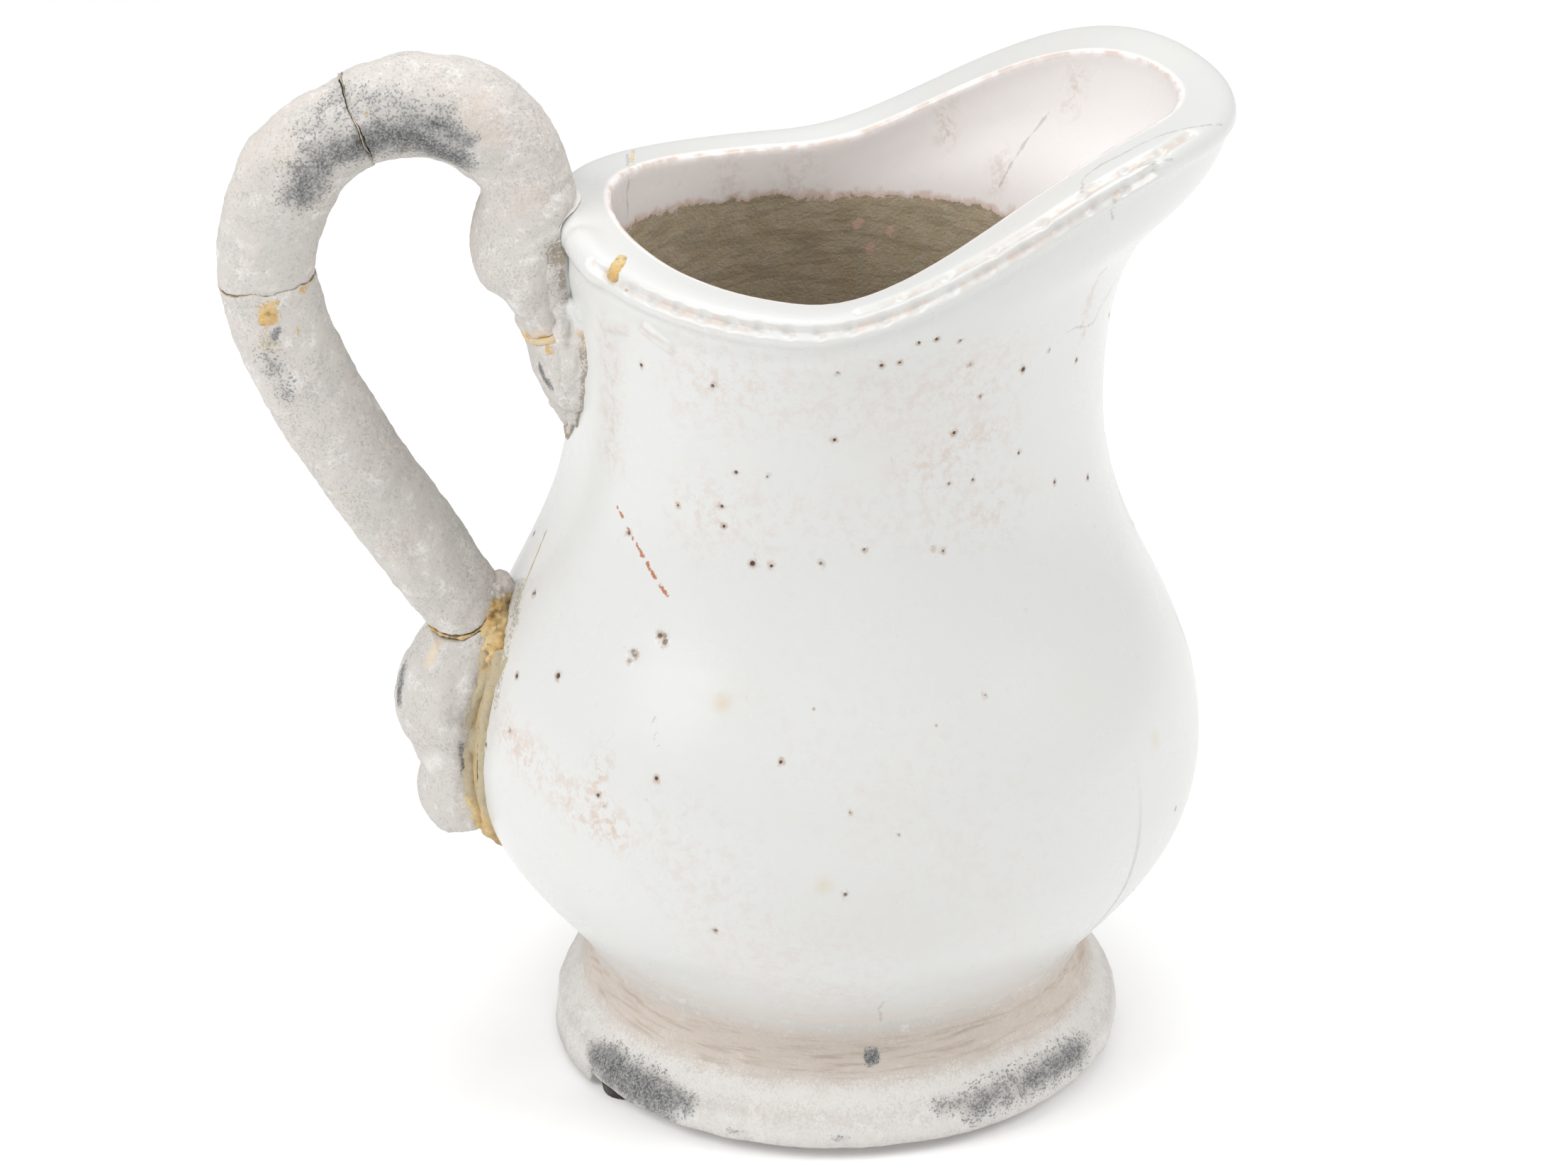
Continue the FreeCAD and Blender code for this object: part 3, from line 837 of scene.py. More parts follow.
GLAZE_ENDS = 200.8             # height inside at which the glaze ends, at the sides
GLAZE_ENDS_BACK_RISE = 5.2
GLAZE_ENDS_LIP_RISE = 2.2
DEPTH_LIMIT = 12


def raw_depth(points, from_arris):
    """Millimetres below the edge where the glaze ends inside; negative above it."""
    back = -points[:, 0] / np.maximum(np.hypot(points[:, 0], points[:, 1]), 1)
    rise = GLAZE_ENDS_BACK_RISE * np.clip(back, 0, 1) ** 1.5 + GLAZE_ENDS_LIP_RISE * np.clip(-back, 0, 1)
    depth = np.clip(GLAZE_ENDS + rise - points[:, 2], -DEPTH_LIMIT, DEPTH_LIMIT)
    return np.where(from_arris > 0, depth, -DEPTH_LIMIT)


def bands(centre, width, values):
    return np.exp(-(((values - centre) / width) ** 2))


def vessel_layers(mesh, holes):
    points = read_points(mesh)
    from_arris = np.empty(len(points), np.float32)
    mesh.attributes["from_arris"].data.foreach_get("value", from_arris)
    height = points[:, 2]
    outside = from_arris < 0
    crowded = []
    for _, angles, (low, high) in PIN_ZONES[:2]:
        start, end = [(angle, (low + high) / 2) for angle in angles]
        crowded.append((start, end, (high - low) / 2 + 3, 0.5))
    stains = strokes_on(on_vessel, crowded + STAINS) + strokes_on(in_vessel, STAINS_INSIDE)
    set_layer(mesh, "stain", paint(points, stains))
    # inside: where the glaze is painted paler as painted light
    set_layer(mesh, "inside", from_arris > -1.0)
    crack = [stroke for line in crack_lines() for stroke in chained(line, 0.75, 1.2)]
    set_layer(mesh, "crack", paint(points, crack))
    set_layer(mesh, "grime", paint(points, strokes_on(on_vessel, GRIME_MARKS)))
    yellow = dots_on(on_vessel, YELLOW_DOTS, 3.2, 0.8) + dots_on(on_vessel, [YELLOW_STAIN], 3.4)
    set_layer(mesh, "yellow", paint(points, yellow))
    # cove: beige towards the foot, partly painted shade in the hollow
    cove = cove_share(height + 2 * wobble(points, 12, 5))
    set_layer(mesh, "cove", np.where(outside, cove, 0))
    worn = bands(0.2, 0.9, from_arris)
    worn += paint(points, crease_strokes(1.7, 1.25))
    crawl = strokes_on(on_vessel, [(start, end, 1.4, 1.25) for start, end in CRAWLED])
    set_layer(mesh, "worn", np.clip(worn + paint(points, crawl), 0, 1))
    set_layer(mesh, "raw", raw_depth(points, from_arris))
    set_layer(mesh, "pale_dot", paint(points, dots_on(in_vessel, scattered(3, 6, (75, 86), (184, 196)), 2.2)))
    set_layer(mesh, "scratch", paint(points, strokes_on(on_vessel, scrape_dashes())))
    # hole: the middles of the holes, painted dark as painted shade; halo: the brown stain round them
    cover, halo = np.zeros(len(points)), np.zeros(len(points))
    for seed, (centre, radius, _) in enumerate(holes):
        gap = np.linalg.norm(points - np.array(centre), axis=1)
        strength = 0.55 + 0.5 * random.Random(seed).random()
        cover = np.maximum(cover, strength * np.clip(1.25 - gap / (1.7 * radius), 0, 1))
        halo = np.maximum(halo, strength * np.clip(1.0 - gap / (2.2 * radius + 0.9), 0, 1))
    set_layer(mesh, "hole", cover)
    set_layer(mesh, "halo", halo)


def vessel_sculpting():
    rows = [ROOT_SWELLING] + [(*line, 2.1, 0.55) for line in CRAWLED]
    rows += [(place, place, 2.4, -0.7) for place in PIT_AND_CHIP_SHADOW_PLACES[:2]]
    return strokes_on(on_vessel, rows) + crease_strokes(2.3, -0.95)


def vessel_piece(material):
    mesh = vessel_grid_mesh(vessel_columns())
    spots = [
        on_vessel(*place)
        for seed, (count, angles, heights) in enumerate(PIN_ZONES + [SCATTERED_PINHOLES])
        for place in scattered(count, seed + 4, angles, heights)
    ]
    draw = random.Random(8)
    holes = [(spot, PIN_SIZE * draw.uniform(0.7, 1.3), PIN_DEPTH) for spot in spots]
    holes += [(on_vessel(*place), size, 0.9 * size) for place, size in pits()]
    lines = [[on_vessel(*start), on_vessel(*end)] for start, end, *_ in scrape_dashes()] + crack_lines()
    centres = [Vector(point) for line in lines for point in along(line, 1.2)]
    creases = [Vector(point) for line in crease_lines() for point in along(line, 1.5)]
    refined(mesh, creases + [on_vessel(*place) for line in CRAWLED for place in line], 3.0, 2)
    refined(mesh, [centre for centre, _, _ in holes] + centres, 1.7, 4)
    points, normals = read_points(mesh), read_normals(mesh)
    points = sculpted(points, normals, vessel_sculpting())
    points += normals * (0.45 * wobble(points, 30, 1) + 0.12 * wobble(points, 9, 2))[:, None]
    points = press_holes(points, normals, holes)
    write_points(mesh, points)
    vessel_layers(mesh, holes)
    show(mesh, "vessel_glazed", ["vessel_body"], material)


# --- Worn clay and mends ---
def remeshed(node, voxel, smoothing=3):
    """Even, softened mesh of a CAD node."""
    copy = cad(node).copy()
    even = changed(copy, "REMESH", mode="VOXEL", voxel_size=voxel * MM)
    return changed(even, "SMOOTH", factor=0.5, iterations=smoothing)


def roughened(mesh, *amounts):
    """Pushes points along their normals by noise: (depth, size, seed) for each layer."""
    points, normals = read_points(mesh), read_normals(mesh)
    offset = sum(depth * grain(points, size, seed) for depth, size, seed in amounts)
    write_points(mesh, points + normals * offset[:, None])
    return mesh


def grown(mesh, amount):
    """Moves the whole surface out, or in where the amount is negative."""
    write_points(mesh, read_points(mesh) + read_normals(mesh) * amount)
    return mesh


def joined(meshes):
    """One mesh of several closed shells."""
    work = bmesh.new()
    for mesh in meshes:
        work.from_mesh(mesh)
    bmesh.ops.recalc_face_normals(work, faces=work.faces)
    return finished(work, "joined")


CLAY_LAYERS = ("dark", "dirt", "olive", "beige", "peach", "ochre", "white", "glaze")
# Soot inside the handle's bend: from and to which angle round it, how far from its middle, size, strength
SOOT_BANDS = [(34, 66, 27, 8, 0.85), (70, 118, 26, 8, 1.0), (96, 122, 32, 5, 0.85), (56, 102, 36, 6, 0.45)]
SOOT_STEP = 9
BEND_INSIDE = 8                # the bend's middle: this far nearer the vessel than the top break
BEND_ABOVE = 11                # and this far above the left break


def soot_rows():
    """Uneven strokes of soot round the handle's bend."""
    draw = random.Random(21)
    bend_reach = (middle("crown_joint_adhesive") - AXIS).dot(OUTWARD) / MM - BEND_INSIDE
    bend_height = middle("shaft_joint_adhesive").z / MM + BEND_ABOVE
    rows = []
    for first, last, distance, size, strength in SOOT_BANDS:
        for turn in range(first, last, SOOT_STEP):
            away = distance + draw.uniform(-1.5, 1.5)
            ways = np.radians([turn, turn + SOOT_STEP])
            ends = zip(bend_reach + away * np.cos(ways), bend_height + away * np.sin(ways))
            rows.append((*ends, size * draw.uniform(0.8, 1.1), strength * draw.uniform(0.75, 1.1)))
    return rows


def blotches(node, count, seed, size, strength):
    """Soft patches scattered over a piece of the handle."""
    low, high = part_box(node)
    draw = random.Random(seed)
    rows = []
    for _ in range(count):
        out = draw.uniform(-0.45, 0.45) * (high.x - low.x) / MM
        up = draw.uniform(-0.45, 0.45) * (high.z - low.z) / MM
        end = (out + draw.uniform(-0.6, 0.6) * size, up + draw.uniform(-0.6, 0.6) * size)
        rows.append(((out, up), end, size * draw.uniform(0.7, 1.2), strength * draw.uniform(0.6, 1.1)))
    return beside(node, rows)


# Strokes by layer: soot round the bend, marks measured from the piece they are beside, and scattered patches
HANDLE_MARKS = {
    "dark": soot_rows()
    + beside("shaft_chip_filler", [((5, -6), (1, -15), 5, 0.42), ((2, 1), (3, -1), 1.5, 1.1)])
    + beside("leaf_tip", [((3, 5), (1, 2), 2.3, 1.0)])
    + beside("lower_terminal", [((11, 10), (12, 4), 3, 0.85), ((-2, -3), (-3, -12), 1.4, 1.1)]),
    "ochre": beside("shaft_chip_filler", [((4, 6), (4, 4), 3.7, 1.1)])
    + blotches("crown_joint_adhesive", 3, 31, 1.7, 0.9)
    + blotches("shaft_joint_adhesive", 3, 32, 1.4, 0.8)
    + blotches("leaf_joint_filler", 5, 33, 2, 0.8),
    "peach": beside("lower_terminal", [((3, 20), (5, 16), 2.8, 0.95)])
    + blotches("leaf_joint_filler", 3, 34, 3.4, 0.9),
    "olive": beside("shaft_chip_filler", [((4, -2), (5, -4), 4.2, 0.9)])
    + blotches("handle_shaft", 3, 41, 7, 0.4)
    + blotches("handle_root", 5, 42, 7, 0.45)
    + blotches("handle_crown", 3, 43, 8, 0.35),
    "dirt": beside("handle_root", [((-21, -10), (-23, -20), 4, 1.0), ((-17, 3), (-22, -6), 2.2, 0.5)])
    + beside("lower_terminal", [((-3, 3), (-3, 2), 1.8, 0.9)]),
    "beige": blotches("handle_root", 6, 51, 9, 0.6)
    + blotches("handle_shaft", 4, 52, 12, 0.35)
    + blotches("handle_crown", 3, 53, 8, 0.4),
    "white": blotches("lower_terminal", 4, 61, 6, 0.7) + blotches("leaf_tip", 3, 62, 3, 0.6),
}


ROOT_WALL_MARKS = {
    # the same clay where it laps onto the vessel's wall
    "dirt": round_root([
        ((12, 2), (18, -2), 3.6, 0.9), ((18, -2), (20, -7), 3, 0.9),
        ((21, -33), (24, -17), 1.4, 0.95), ((18, -35), (22, -30), 2.2, 1.2),
    ]),
    "olive": round_root([((16, 14), (12, 5), 6, 1.0), ((19, -6), (22, -8), 4, 1.5)]),
    "white": round_root([((20, 10), (28, 6), 7, 1.0)]),
    "ochre": round_root([((18, -12), (22, -9), 2.6, 0.9)]),
    "peach": round_root([((19, -15), (22, -12), 2.6, 0.7)]),
}
FOOT_MARKS = {
    "dark": [
        ((213, 10.2), (234, 9.3), 8, 1.0), ((217, 11.5), (228, 11), 6, 1.0), ((230, 12.5), (239, 10), 5, 0.6),
        ((299, 10.6), (329, 10.8), 7, 0.66), ((313, 11.5), (327, 11.5), 6, 0.8),
        ((291, 12), (300, 12), 4, 0.45), ((249, 6.2), (272, 6.6), 1.3, 0.5),
        ((60, 12), (85, 10), 6, 0.95), ((140, 9), (150, 12), 4, 0.7),
    ],
    "dirt": [((229, 19), (235, 19), 1.6, 0.4), ((200, 9), (196, 14), 3, 0.4)],
    "olive": [((298, 17), (345, 17), 9, 0.45), ((20, 16), (60, 17), 9, 0.4), ((203, 15), (212, 17), 4, 0.5)],
    "beige": [((angle, 19), (angle + 30, 19), 7.5, 0.62) for angle in range(195, 555, 30)],
    # painted light: the foot's clay is painted whiter all over, for the light that reaches it less than the
    # handle
    "white": [
        ((angle, height), (angle + 15, height), 9, 0.85)
        for angle in range(180, 540, 15) for height in (7, 15)
    ],
}
NO_MARKS = {}


def clay_layers(mesh, marks, wall_marks=NO_MARKS, finder=on_handle):
    points = read_points(mesh)
    for name in CLAY_LAYERS:
        strokes = strokes_on(finder, marks.get(name, [])) + strokes_on(on_vessel, wall_marks.get(name, []))
        set_layer(mesh, name, paint(points, strokes))


# Where the shaft's lower end stands in the handle's plane, the way it points, and its shape
SHAFT_END = (90.8, 119.6)
SHAFT_WAY = (-0.512, -0.859)
END_BULGE = 4.6                # how far its end stands out in the middle
END_HALF_WIDTH = 9.8
END_FADE = 16.0                # distance over which the bulge dies away
BREAKS = ["crown_joint_adhesive", "shaft_joint_adhesive"]
BREAK_WAVE = 0.9
BREAK_FADE = 7.0
BREAK_REACH = 20.0
BREAK_CLOSES = 0.2


def bulged(points):
    """Handle clay round the lower break, with the shaft's end rounded and what it rests on hollowed."""
    reach, height = points @ np.array(OUTWARD) - SHAFT_END[0], points[:, 2] - SHAFT_END[1]
    onward = reach * SHAFT_WAY[0] + height * SHAFT_WAY[1]
    aside = -reach * SHAFT_WAY[1] + height * SHAFT_WAY[0]
    bulge = END_BULGE * np.clip(1 - (aside / END_HALF_WIDTH) ** 2, 0, 1)
    way = np.array(OUTWARD * SHAFT_WAY[0] + UP * SHAFT_WAY[1])
    return points + way * (bulge * eased(1 - abs(onward) / END_FADE))[:, None]


def break_plane(node):
    """Middle of a break and the way across it."""
    disc = read_points(cad(node))
    centre = disc.mean(0)
    return centre, np.linalg.svd(disc - centre, full_matrices=False)[2][2]


def waved(points):
    """Handle clay round the upper breaks, which run unevenly."""
    for seed, node in enumerate(BREAKS):
        centre, way = break_plane(node)
        near = abs((points - centre) @ way) < BREAK_FADE
        near &= np.linalg.norm(points - centre, axis=1) < BREAK_REACH
        distance = (points[near] - centre) @ way
        flat = points[near] - np.outer(distance, way)
        wave = grain(flat, 6, seed + 3) + 0.5 * grain(flat, 2.4, seed + 5)
        points[near] += np.outer(BREAK_WAVE * wave * eased(1 - abs(distance) / BREAK_FADE), way)
    return points


def closed_up(points):
    """Handle clay whose broken faces are pressed nearly together."""
    for node in BREAKS:
        centre, way = break_plane(node)
        distance = (points - centre) @ way
        near = np.linalg.norm(points - centre, axis=1) < BREAK_REACH
        shift = -np.sign(distance) * BREAK_CLOSES * eased(1 - abs(distance) / 1.5) * near
        points += np.outer(shift, way)
    return points


def handle_sculpting():
    """Dents and swellings of the handle: (start, end, radius, height in millimetres)."""
    dents = bars([
        (79.8, 197.6, 9, 7.5, -3.6), (76, 195.5, 9, 4.5, -1.5), (85.8, 226, 9, 5.5, -1.6),
        (106, 113, 5, 7, 0.8), (103.5, 84, 8, 5, -1.0), (121, 253.5, 7, 8, -0.9), (137, 236, 7, 8, 0.7),
        (101, 262, 9, 10, 0.9),
    ])
    dents += strokes_on(
        on_handle,
        beside("lower_terminal", [
            ((-3, 3), (-1, 3), 4.2, -1.6), ((-1, 0), (0, -19), 4.5, 0.8),
            ((4, 11), (3, 7), 7, 0.8), ((-6, 16), (-4, 9), 4, 0.7),
        ])
        + beside("handle_root", [((-22, -11), (-23, -20), 3.5, -0.9)])
        + beside("crown_joint_adhesive", [((8, -4), (-14, -2), 7, -0.5), ((1, -1), (-1, -6), 1.6, -0.5)]),
    )
    return dents


HANDLE_VOXEL = 0.45


def handle_pieces(material):
    dents = handle_sculpting()
    for seed, node in enumerate(HANDLE_NODES):
        mesh = remeshed(node, HANDLE_VOXEL, 2)
        if node == "handle_shaft":
            plug = grown(cad("shaft_chip_filler").copy(), 0.05)
            mesh = fused([joined([cad(node), plug])], HANDLE_VOXEL)
        points = sculpted(read_points(mesh), read_normals(mesh), dents)
        write_points(mesh, waved(bulged(closed_up(points))))
        roughened(mesh, (0.6, 15, seed), (0.36, 5, seed + 9), (0.17, 1.9, seed + 20), (0.08, 0.9, seed + 30))
        clay_layers(mesh, HANDLE_MARKS, ROOT_WALL_MARKS)
        show(mesh, f"{node}_worn", [node], material)


SLUMP_ANGLE = 192              # the foot's shoulder has slumped here
SLUMP_SPREAD = 26.0
SLUMP_FROM = 60                # radius outside which it has
SLUMP_DRAWN_IN = 2.4           # how far the foot is drawn in there, at the bottom
SHOULDER_DRAWN_IN = 3.4        # and how much further at the shoulder
SHOULDER_DROP = 1.6


def foot_piece(material):
    mesh = remeshed("foot_ring", 0.95)
    points = read_points(mesh)
    radii = np.hypot(points[:, 0], points[:, 1])
    slump = bands(SLUMP_ANGLE, SLUMP_SPREAD, turns(points)) * eased((radii - SLUMP_FROM) / 6)
    shoulder = eased((points[:, 2] - 9) / 8)
    drawn_in = slump * (SLUMP_DRAWN_IN + SHOULDER_DRAWN_IN * shoulder)
    points[:, :2] *= (1 - drawn_in / radii)[:, None]
    points[:, 2] -= SHOULDER_DROP * slump * shoulder
    write_points(mesh, points)
    roughened(mesh, (0.5, 24, 31), (0.3, 7, 32), (0.13, 2.4, 33))
    clay_layers(mesh, FOOT_MARKS, finder=on_vessel)
    show(mesh, "foot_ring_worn", ["foot_ring"], material)


# --- Fillers smeared along the seams ---
def nearby_normal(tree, spot):
    """Way out of a seam: the average of the surfaces round it."""
    found = tree.find_nearest_range(world(spot), 4 * MM)
    total = sum((normal for _, normal, _, _ in found), Vector())
    return total.normalized()


def evened(rows, closed, times=3):
    """Rows averaged with their neighbours, the ends kept where the line isn't closed."""
    for _ in range(times):
        mixed = (np.roll(rows, 1, 0) + 2 * rows + np.roll(rows, -1, 0)) / 4
        if not closed:
            mixed[0], mixed[-1] = rows[0], rows[-1]
        rows = mixed
    return rows


def bead(tree, spots, radius, stands, seed):
    """Overlapping balls of filler pressed along a seam, most of each one below the surface.

    radius and stands, how far they stand out past the spots, are numbers or one for each spot.
    """
    draw = random.Random(seed)
    ways = evened(np.array([nearby_normal(tree, spot) for spot in spots]), False, 4)
    sizes, heights = np.broadcast_to(radius, len(spots)), np.broadcast_to(stands, len(spots))
    balls = []
    for spot, way, size, height in zip(spots, ways, sizes, heights):
        size *= draw.uniform(0.85, 1.15)
        balls.append(ball(spot + way / np.linalg.norm(way) * (height - size), size))
    return balls


def distances(tree, points):
    return np.array([tree.find_nearest(world(point))[3] for point in points]) / MM


def filler_outline(nodes, steps):
    """Places round the outline of some fillers, seen along the handle's plane from outside."""
    points = np.concatenate([read_points(remeshed(node, 0.8)) for node in nodes])
    flat = np.stack([points @ np.array(ACROSS), points[:, 2]], 1)
    centre = (flat.max(0) + flat.min(0)) / 2
    scaled = (flat - centre) / (flat.max(0) - centre)
    angles = np.arctan2(scaled[:, 1], scaled[:, 0])
    spots = []
    for turn in np.linspace(math.pi / 2, math.pi * 2.5, steps, endpoint=False):
        apart = abs((angles - turn + math.pi) % math.tau - math.pi)   # round the outline from its top
        near = np.where(apart < 0.09)[0]
        spots.append(points[near[np.argmax(np.hypot(*scaled[near].T))]])
    return evened(np.array(spots), True)


def along(places, step):
    """Even places along a line of points."""
    places = np.array(places)
    distance = travelled(places)
    marks = np.arange(0, distance[-1], step)
    return np.stack([np.interp(marks, distance, places[:, axis]) for axis in range(3)], 1)


def mirrored(points):
    """The same places on the handle's other side."""
    way = np.array(ACROSS)
    return points - 2 * np.outer(points @ way, way)


SKIRT_LOW = (62.6, 170.5)      # the clay under the leaf runs between these: reach, height
SKIRT_HIGH = (66.0, 202.0)
SKIRT_ANGLE = 199
SKIRT_SPREAD = 6
SKIRT_LINES = (0.1, 0.3, 0.5, 0.7)     # how far across the corner each line of filler runs


def skirt_rows():
    """How the clay under the leaf runs down to the neck: (angle on the neck, reach on the leaf, height)."""
    rows = []
    for share in np.linspace(0, 1, 6):
        angle = SKIRT_ANGLE + SKIRT_SPREAD * math.sin(0.75 * math.pi * share)
        rows.append((angle, *between(SKIRT_LOW, SKIRT_HIGH, share)))
    return rows


def filled(tree, strip, shares, radius, stands, seed):
    """Balls that fill the corner between the vessel and the handle, on both sides."""
    angles, reaches, levels = zip(*strip)
    marks = np.arange(levels[0], levels[-1], 0.7)
    wall = np.array([on_vessel(*place) for place in zip(np.interp(marks, levels, angles), marks)])
    side = np.array([on_handle(*place) for place in zip(np.interp(marks, levels, reaches), marks)])
    balls = []
    for share in shares:
        row = wall * (1 - share) + side * share
        balls += bead(tree, row, radius, stands, seed) + bead(tree, mirrored(row), radius, stands, seed + 1)
    return balls


def root_smear(tree, material):
    """Clay rubbed over the seam between the neck and the handle's upper end."""
    spots = filler_outline(["root_bedding", "leaf_bedding"], 230)
    low = eased((205 - spots[:, 2]) / 9)
    balls = bead(tree, spots, 5.2 - 3.9 * low, 0.5 - 0.2 * low - 0.9 * eased((spots[:, 2] - 208) / 7), 80)
    balls += filled(tree, skirt_rows(), SKIRT_LINES, 2.4, 0.1, 81)
    mesh = fused(balls, 0.4)
    roughened(mesh, (0.45, 5, 81), (0.2, 1.9, 82))
    clay_layers(mesh, HANDLE_MARKS, ROOT_WALL_MARKS)
    points = read_points(mesh)
    nearer = distances(HANDLE, points) - distances(OUTSIDE, points) + 0.8 * grain(points, 4, 83)
    low = eased((200 - points[:, 2]) / 5)
    set_layer(mesh, "glaze", 1.2 * eased((nearer + 0.6) / 2.4) * (1 - low))
    against_neck = eased(1 - distances(OUTSIDE, points) / 1.6)
    dirt = low * (1.1 * against_neck + 0.5 * grain(points, 2.5, 84) * against_neck)
    set_layer(mesh, "dirt", np.maximum(read_layer(mesh, "dirt"), dirt))
    show(mesh, "root_smear", ["root_bedding", "leaf_bedding"], material)


def read_layer(mesh, name):
    values = np.empty(len(mesh.vertices), np.float32)
    mesh.attributes[name].data.foreach_get("value", values)
    return values


STRIP_HEIGHTS = np.linspace(67.5, 112.5, 10)
STRIP_ANGLE = 198.6
STRIP_REACH = 89
STRIP_NARROWS = 92             # above this height it draws in towards the vessel
STRIP_LINES = (0.15, 0.3, 0.45, 0.6, 0.75)


def strip_rows():
    """How the filler beside the lower terminal runs: (angle on the belly, reach on the handle, height)."""
    rows = []
    for height in STRIP_HEIGHTS:
        rise, tuck = eased((height - STRIP_NARROWS) / 20), eased((80 - height) / 13)
        rows.append((STRIP_ANGLE + 2.2 * rise, STRIP_REACH - 6.6 * rise - 2 * tuck, height))
    return rows


TERMINAL_SMEAR_TOP = 113.0
TERMINAL_SMEAR_LOW = 60.5


def terminal_smear(tree, material):
    """Ochre filler wiped into the seam between the belly and the handle's lower end."""
    outline = filler_outline(["terminal_bedding"], 200)
    kept = (outline[:, 2] < TERMINAL_SMEAR_TOP) & (outline[:, 2] > TERMINAL_SMEAR_LOW)
    balls = bead(tree, outline[kept], 1.9, 0.0, 85)
    balls += filled(tree, strip_rows(), STRIP_LINES, 2.2, 0.4, 86)
    mesh = fused(balls, 0.35)
    roughened(mesh, (0.3, 3.5, 85), (0.16, 1.3, 86))
    points = read_points(mesh)
    height = points[:, 2]
    notch = strokes_on(on_handle, beside("lower_terminal", [((-4, 3), (-3, 2), 4, 2.4)]))
    mend_layers(mesh, {
        "dirt": 0.8 + 0.4 * grain(points, 7, 87) - 0.45 * eased((78 - height) / 8),
        "brown": paint(points, notch) + 0.32 + 0.25 * grain(points, 4, 88),
        "grey": 0.5 * eased(grain(points, 6, 89)),
        "pale": 0.3 * eased((78 - height) / 8),
    })
    show(mesh, "terminal_smear", ["terminal_bedding"], material)


MEND_LAYERS = ("brown", "dirt", "grey", "pale", "white")


def mend_layers(mesh, shares):
    for name in MEND_LAYERS:
        set_layer(mesh, name, np.broadcast_to(shares.get(name, 0.0), len(mesh.vertices)))


MENDS = {
    # node: voxel, how far it is drawn in, and the shares of its layers
    "crown_joint_adhesive": (0.18, 0.2, {"brown": 0.35, "grey": 0.55}),
    "shaft_joint_adhesive": (0.18, 0.2, {"brown": 0.5, "dirt": 0.3, "grey": 0.25}),
    "leaf_joint_filler": (0.35, -0.35, {"pale": 0.6, "brown": 0.25, "grey": 0.35}),
    "terminal_bedding": (0.6, 1.3, {"dirt": 0.5}),
    "root_bedding": (0.5, 0.7, {"white": 0.8}),
    "leaf_bedding": (0.5, 0.7, {"dirt": 0.7}),
}


def mend_pieces(material):
    for seed, (node, (voxel, drawn_in, shares)) in enumerate(MENDS.items()):
        mesh = grown(remeshed(node, voxel, 1), -drawn_in)
        write_points(mesh, waved(read_points(mesh)))
        roughened(mesh, (0.12, 4, seed + 40), (0.08, 1.3, seed + 60))
        mend_layers(mesh, shares)
        show(mesh, f"{node}_cured", [node], material)


CHUNK_TOP = (81, 123.5, 3)     # the lumps run from here to there: reach, height, across
CHUNK_LOW = (83.5, 112.5, 15)
CHUNK_LUMPS = 12
LUMP_RADIUS = 3.5
CRUMBS = 7
LUMP_STANDS = 0.8              # how far the lumps stand out of the surface


def ball(centre, radius):
    work = bmesh.new()
    bmesh.ops.create_icosphere(work, subdivisions=3, radius=radius * MM)
    bmesh.ops.translate(work, verts=work.verts, vec=world(centre))
    return finished(work, "ball")


def lumps():
    """Balls sunk in the handle's near side and smaller downwards, with crumbs round each."""
    draw = random.Random(5)
    balls = []
    for share in np.linspace(0, 1, CHUNK_LUMPS):
        reach, height, across = between(CHUNK_TOP, CHUNK_LOW, share)
        reach += draw.uniform(-0.8, 1.2)
        radius = LUMP_RADIUS * (1 - 0.4 * share)
        balls.append(ball(in_plane(reach, height, across - radius + LUMP_STANDS), radius))
        for _ in range(CRUMBS):
            place = in_plane(reach + draw.uniform(-2.2, 2.2), height + draw.uniform(-2.4, 2.4), across)
            balls.append(ball(place + ACROSS * draw.uniform(-0.9, 0.7), draw.uniform(0.5, 1.1)))
    return balls


def fused(meshes, voxel):
    """One crusty lump out of several overlapping shells."""
    whole = changed(joined(meshes), "REMESH", mode="VOXEL", voxel_size=voxel * MM)
    return changed(whole, "SMOOTH", factor=0.5, iterations=2)


def lower_chunk(material):
    """Crumbling ochre filler in the lower break, brown at the top and pale at the bottom."""
    disc = remeshed("lower_joint_filler", 0.35, 1)
    write_points(disc, bulged(read_points(disc)))
    mesh = fused([grown(disc, -0.15)] + lumps(), 0.32)
    roughened(mesh, (0.6, 3.0, 91), (0.4, 1.3, 92))
    points = read_points(mesh)
    height = points[:, 2]
    mend_layers(mesh, {
        "brown": 0.45 * eased((height - 115.5) / 5)
        + 0.5 * grain(points, 1.8, 93) * eased((height - 110) / 6),
        "pale": 0.45 * eased((115 - height) / 2.5),
        "dirt": 0.5 * eased((height - 120) / 3),
        "grey": 0.75 * eased((height - 122) / 2),
    })
    show(mesh, "lower_joint_filler_cured", ["lower_joint_filler"], material)


def filler_blobs(name, node, spots, way_out, shares, material):
    """Filler that shows as small flat blobs on the surface, with the rest of it below.

    Each spot is (point on the surface, radius, how far it stands out).
    """
    balls = [ball(Vector(point) + way_out * (stands - radius), radius) for point, radius, stands in spots]
    mesh = fused([grown(remeshed(node, 0.35, 1), -0.6)] + balls, 0.22)
    roughened(mesh, (0.22, 1.8, 95), (0.1, 0.8, 96))
    mend_layers(mesh, {"brown": 0.2 + 0.6 * grain(read_points(mesh), 1.6, 98), **shares})
    show(mesh, name, [node], material)


CRACK_FILLER = [(143, 61), (151, 56)]      # its blobs run between these: angle, radius
CHIP_FILLER = [(218, 64.2), (215.2, 60.7)]
BLOBS = 6


